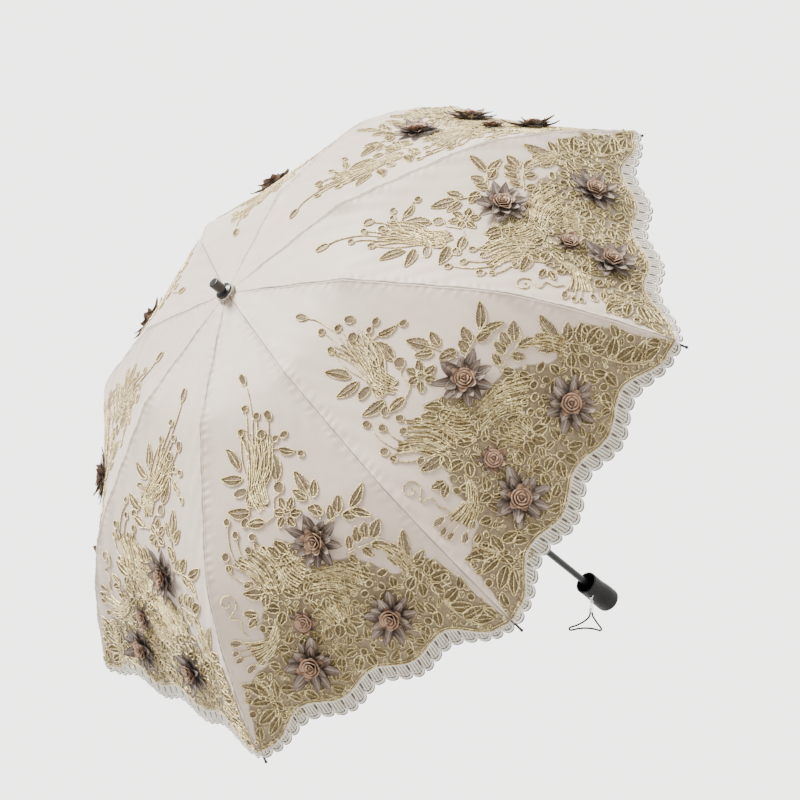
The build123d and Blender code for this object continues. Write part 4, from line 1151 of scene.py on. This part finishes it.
def bud(radius, tall):
    """The closed middle of a rose's heart."""
    t, a = grid_lines(BUD_GRID, 0, 2 * np.pi)
    out = radius * np.cos(t * 1.45) * (1 + 0.12 * np.sin(3 * a))
    up = tall * (0.5 + 0.5 * np.sin(t * 1.45)) + 0 * a
    outer = round_points(out, a, up)
    # The bud's highlight value gives it painted highlight streaks.
    return outer, outer * 0.85, 0.35 + 0.4 * t + 0 * a, 0.5 + 0.3 * t * np.sin(3 * a)


def flower_parts(size, small):
    """Every petal of a flower, with its kind."""
    if small:
        rings = (
            Ring(6, size, 7.0, 2.0, 1.0, 1.0, MAUVE_KIND, 0.75),
            Ring(6, size * 0.84, 10.0, 4.0, 1.2, 1.6, ROSE_KIND, 0.5),
        )
        heart = (
            Shell(5, size * 0.5, 6.5, 0.8),
            Shell(4, size * 0.32, 7.6, 0.9),
            Shell(3, size * 0.15, 8.0, 1.1),
        )
    else:
        rings = (
            Ring(9, size, 13.0, 2.4, 2.2, 1.2, MAUVE_KIND, 0.58),
            Ring(7, size * 0.78, 11.5, 6.5, 2.0, 1.4, MAUVE_KIND, 0.58),
            Ring(6, size * 0.48, 11.0, 7.5, 0.5, 1.8, ROSE_KIND, 0.5),
        )
        heart = (
            Shell(5, size * 0.29, 9.0, 0.8),
            Shell(4, size * 0.19, 10.2, 0.9),
            Shell(3, size * 0.09, 10.6, 1.1),
        )
    normal = random_draw.normal
    parts = []
    for number, ring in enumerate(rings):
        for i in range(ring.count):
            turn = 2 * np.pi * (i + 0.5 * number) / ring.count + normal(0, 0.1)
            long = ring.long * (1 + normal(0, 0.08))
            rise, curl = ring.rise + normal(0, 1.0), ring.curl + normal(0, 1.8)
            wide = ring.wide * (1 + normal(0, 0.1))
            parts.append((*petal(long, wide, rise, curl, ring.cup, turn, ring.sharp), ring.kind))
    for number, shell in enumerate(heart):
        for i in range(shell.count):
            turn = 2 * np.pi * (i + 0.4 * number) / shell.count + normal(0, 0.08)
            parts.append((*curled_petal(shell.radius, shell.tall, shell.spread, turn), ROSE_KIND))
    parts.append((*bud(heart[-1].radius * 0.95, heart[-1].tall * 0.93), ROSE_KIND))
    return parts


def place_flower(x, s, spin, turn):
    """Origin and axes of a flower standing on a panel."""
    at_x, at_s = np.array(x * MM), np.array(s * MM)
    origin = surface(at_x, at_s, FLOWER_LIFT, turn)
    normal = surface_normals(at_x, at_s, turn)
    along = surface(at_x, at_s + 0.002, 0.0, turn) - surface(at_x, at_s - 0.002, 0.0, turn)
    along -= normal * (along @ normal)
    along /= np.linalg.norm(along)
    first = along * math.cos(spin) + np.cross(normal, along) * math.sin(spin)
    return origin, np.stack((first, np.cross(normal, first), normal))


def draw_flowers():
    """The panel's flowers: place, size and petals, drawn once and sewn to every panel."""
    made = []
    for (x, s, size), small in [(flower, False) for flower in FLOWERS] + [(SMALL_ROSE, True)]:
        made.append((x, s, random_draw.uniform(0, 1), flower_parts(size, small)))
    return made


def flowers_piece(flowers, number):
    rib_turn = (number - 1) * STEP
    skins, kinds, facts = [], [], {"reach": [], "vein": []}
    for x, s, spin, parts in flowers:
        side = -1 if x < 0 else 1
        origin, axes = place_flower(x, s, spin, rib_turn + side * STEP / 2)
        for outer, inner, reach, vein, kind in parts:
            points, quads = thick_grid(outer, inner)
            points[:, 2] = np.maximum(points[:, 2], PETAL_FLOOR)
            skins.append((origin + points * MM @ axes, quads))
            kinds.append(np.full(len(quads), kind))
            facts["reach"] += [reach.ravel()] * 2
            facts["vein"] += [vein.ravel()] * 2
    points, quads = gather(skins)
    return quad_mesh(f"flowers_{number}", points, quads, np.concatenate(kinds), [MAUVE, ROSE], facts)


# ---------------- canopy pieces on their ribs

HEM_MEASURED_AT = 130.0  # x, in mm, that a hem sheet's flat length is taken at


def make_panel_pieces(number, cut, flowers):
    """The cloth, lace and flowers that go with one rib, on its three parts."""
    blossoms = flowers_piece(flowers, number)
    for part, (start, end) in RIB_PARTS.items():
        cloth, area = cloth_piece(part, number)
        lace = lace_piece(cut, part, number)
        going = [lace]
        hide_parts("canopy_gores")
        if part == "outer":
            going.append(blossoms)
            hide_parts("lace_flowers")
        body = f"{part}_rib_{number}"
        for piece in (cloth, *going):
            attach(piece, body)
            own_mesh(piece)
        end = end or float(satin_edge(HEM_MEASURED_AT)) * MM


drawn_lace = cut_lace()
drawn_flowers = draw_flowers()
for rib in range(1, RIBS + 1):
    make_panel_pieces(rib, drawn_lace, drawn_flowers)

# ---------------- hub rosette


FRILL_LAYERS = 3
FRILL_GRID = (6, 121)
FRILL_START = 0.0058  # radius of its gathered edge
FRILL_FLOOR = 0.0006
FRILL_THICKNESS = 0.0003


def frill_layer(layer, low, high):
    """One layer: its outer and inner skin, how far out each point is, and its shine."""
    t, a = grid_lines(FRILL_GRID, 0, 2 * np.pi)
    reach = (high.x - low.x) / 2 * (1.0 - 0.14 * layer)
    crinkle = np.sin(a * (17 + layer * 2) + layer) * 0.0011 * t + np.sin(a * 5 + 2 * layer) * 0.0006 * t
    out = FRILL_START + (reach - FRILL_START) * t + 0.0004 * np.sin(a * 11) * t
    rise = 0.12 + 0.24 * layer + 0.3 * t * (0.4 + 0.3 * layer)
    up = low.z + FRILL_FLOOR + (high.z - low.z) * rise + crinkle
    outer = round_points(out, a, up)
    return outer, outer - np.array((0, 0, FRILL_THICKNESS)), t + 0 * a, 0.5 + 0.5 * np.sin(a * 34) + 0 * t


def make_rosette():
    """The crinkled lace frill gathered round the ferrule's foot."""
    skins, facts = [], {"reach": [], "vein": []}
    for layer in range(FRILL_LAYERS):
        outer, inner, reach, vein = frill_layer(layer, *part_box("top_rosette"))
        skins.append(thick_grid(outer, inner))
        facts["reach"] += [reach.ravel()] * 2
        facts["vein"] += [vein.ravel()] * 2
    points, quads = gather(skins)
    made = quad_mesh("hub_rosette", points, quads, np.zeros(len(quads)), [FRILL], facts)
    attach(made, "top_tube")
    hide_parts("top_rosette")


make_rosette()

# ---------------- floor and light

FLOOR_Z = -1.1
FLOOR_SIZE = 45.0
FLOOR_SHADES = ((0.93, 0.93, 0.93), (0.95, 0.95, 0.95))
SUN_WAY = (-0.42, 0.68, 0.95)  # where the overhead light comes from
SUN_STRENGTH = 13.0
SUN_ANGLE = math.radians(20)
SUN_COLOUR = (1.0, 0.985, 0.965)
FILL_PLACE = (2.6, -2.8, 2.2)
FILL_AIM = (0, 0, 0.4)
FILL_SIZE = 2.5
FILL_POWER = 46
FILL_COLOUR = (1.0, 0.86, 0.74)
WORLD_STRENGTH = 0.8


def make_floor():
    grid = bmesh.new()
    bmesh.ops.create_grid(grid, x_segments=8, y_segments=8, size=FLOOR_SIZE)
    data = bpy.data.meshes.new("floor")
    grid.to_mesh(data)
    grid.free()
    made = add_object("floor", data)
    made.location = (0, 0, FLOOR_Z)
    data.materials.append(plain_paint("pale_floor", FLOOR_SHADES, 2, 60, 0.0002, 0.7, 0.85))


def make_light(name, kind, energy, colour, way, place=(0, 0, 0)):
    """A light that shines from that way."""
    data = bpy.data.lights.new(name, kind)
    data.energy = energy
    data.color = colour
    made = add_object(name, data)
    made.location = place
    made.rotation_mode = "QUATERNION"
    made.rotation_quaternion = Vector(way).to_track_quat("Z", "Y")
    return data


def make_world():
    world = bpy.data.worlds.new("studio")
    world.use_nodes = True
    background = world.node_tree.nodes["Background"]
    background.inputs["Color"].default_value = (1.0, 1.0, 1.0, 1)
    background.inputs["Strength"].default_value = WORLD_STRENGTH
    bpy.context.scene.world = world


make_floor()
make_light("overhead", "SUN", SUN_STRENGTH, SUN_COLOUR, SUN_WAY).angle = SUN_ANGLE
fill = make_light("fill", "AREA", FILL_POWER, FILL_COLOUR, Vector(FILL_PLACE) - Vector(FILL_AIM), FILL_PLACE)
fill.shape = "DISK"
fill.size = FILL_SIZE
make_world()
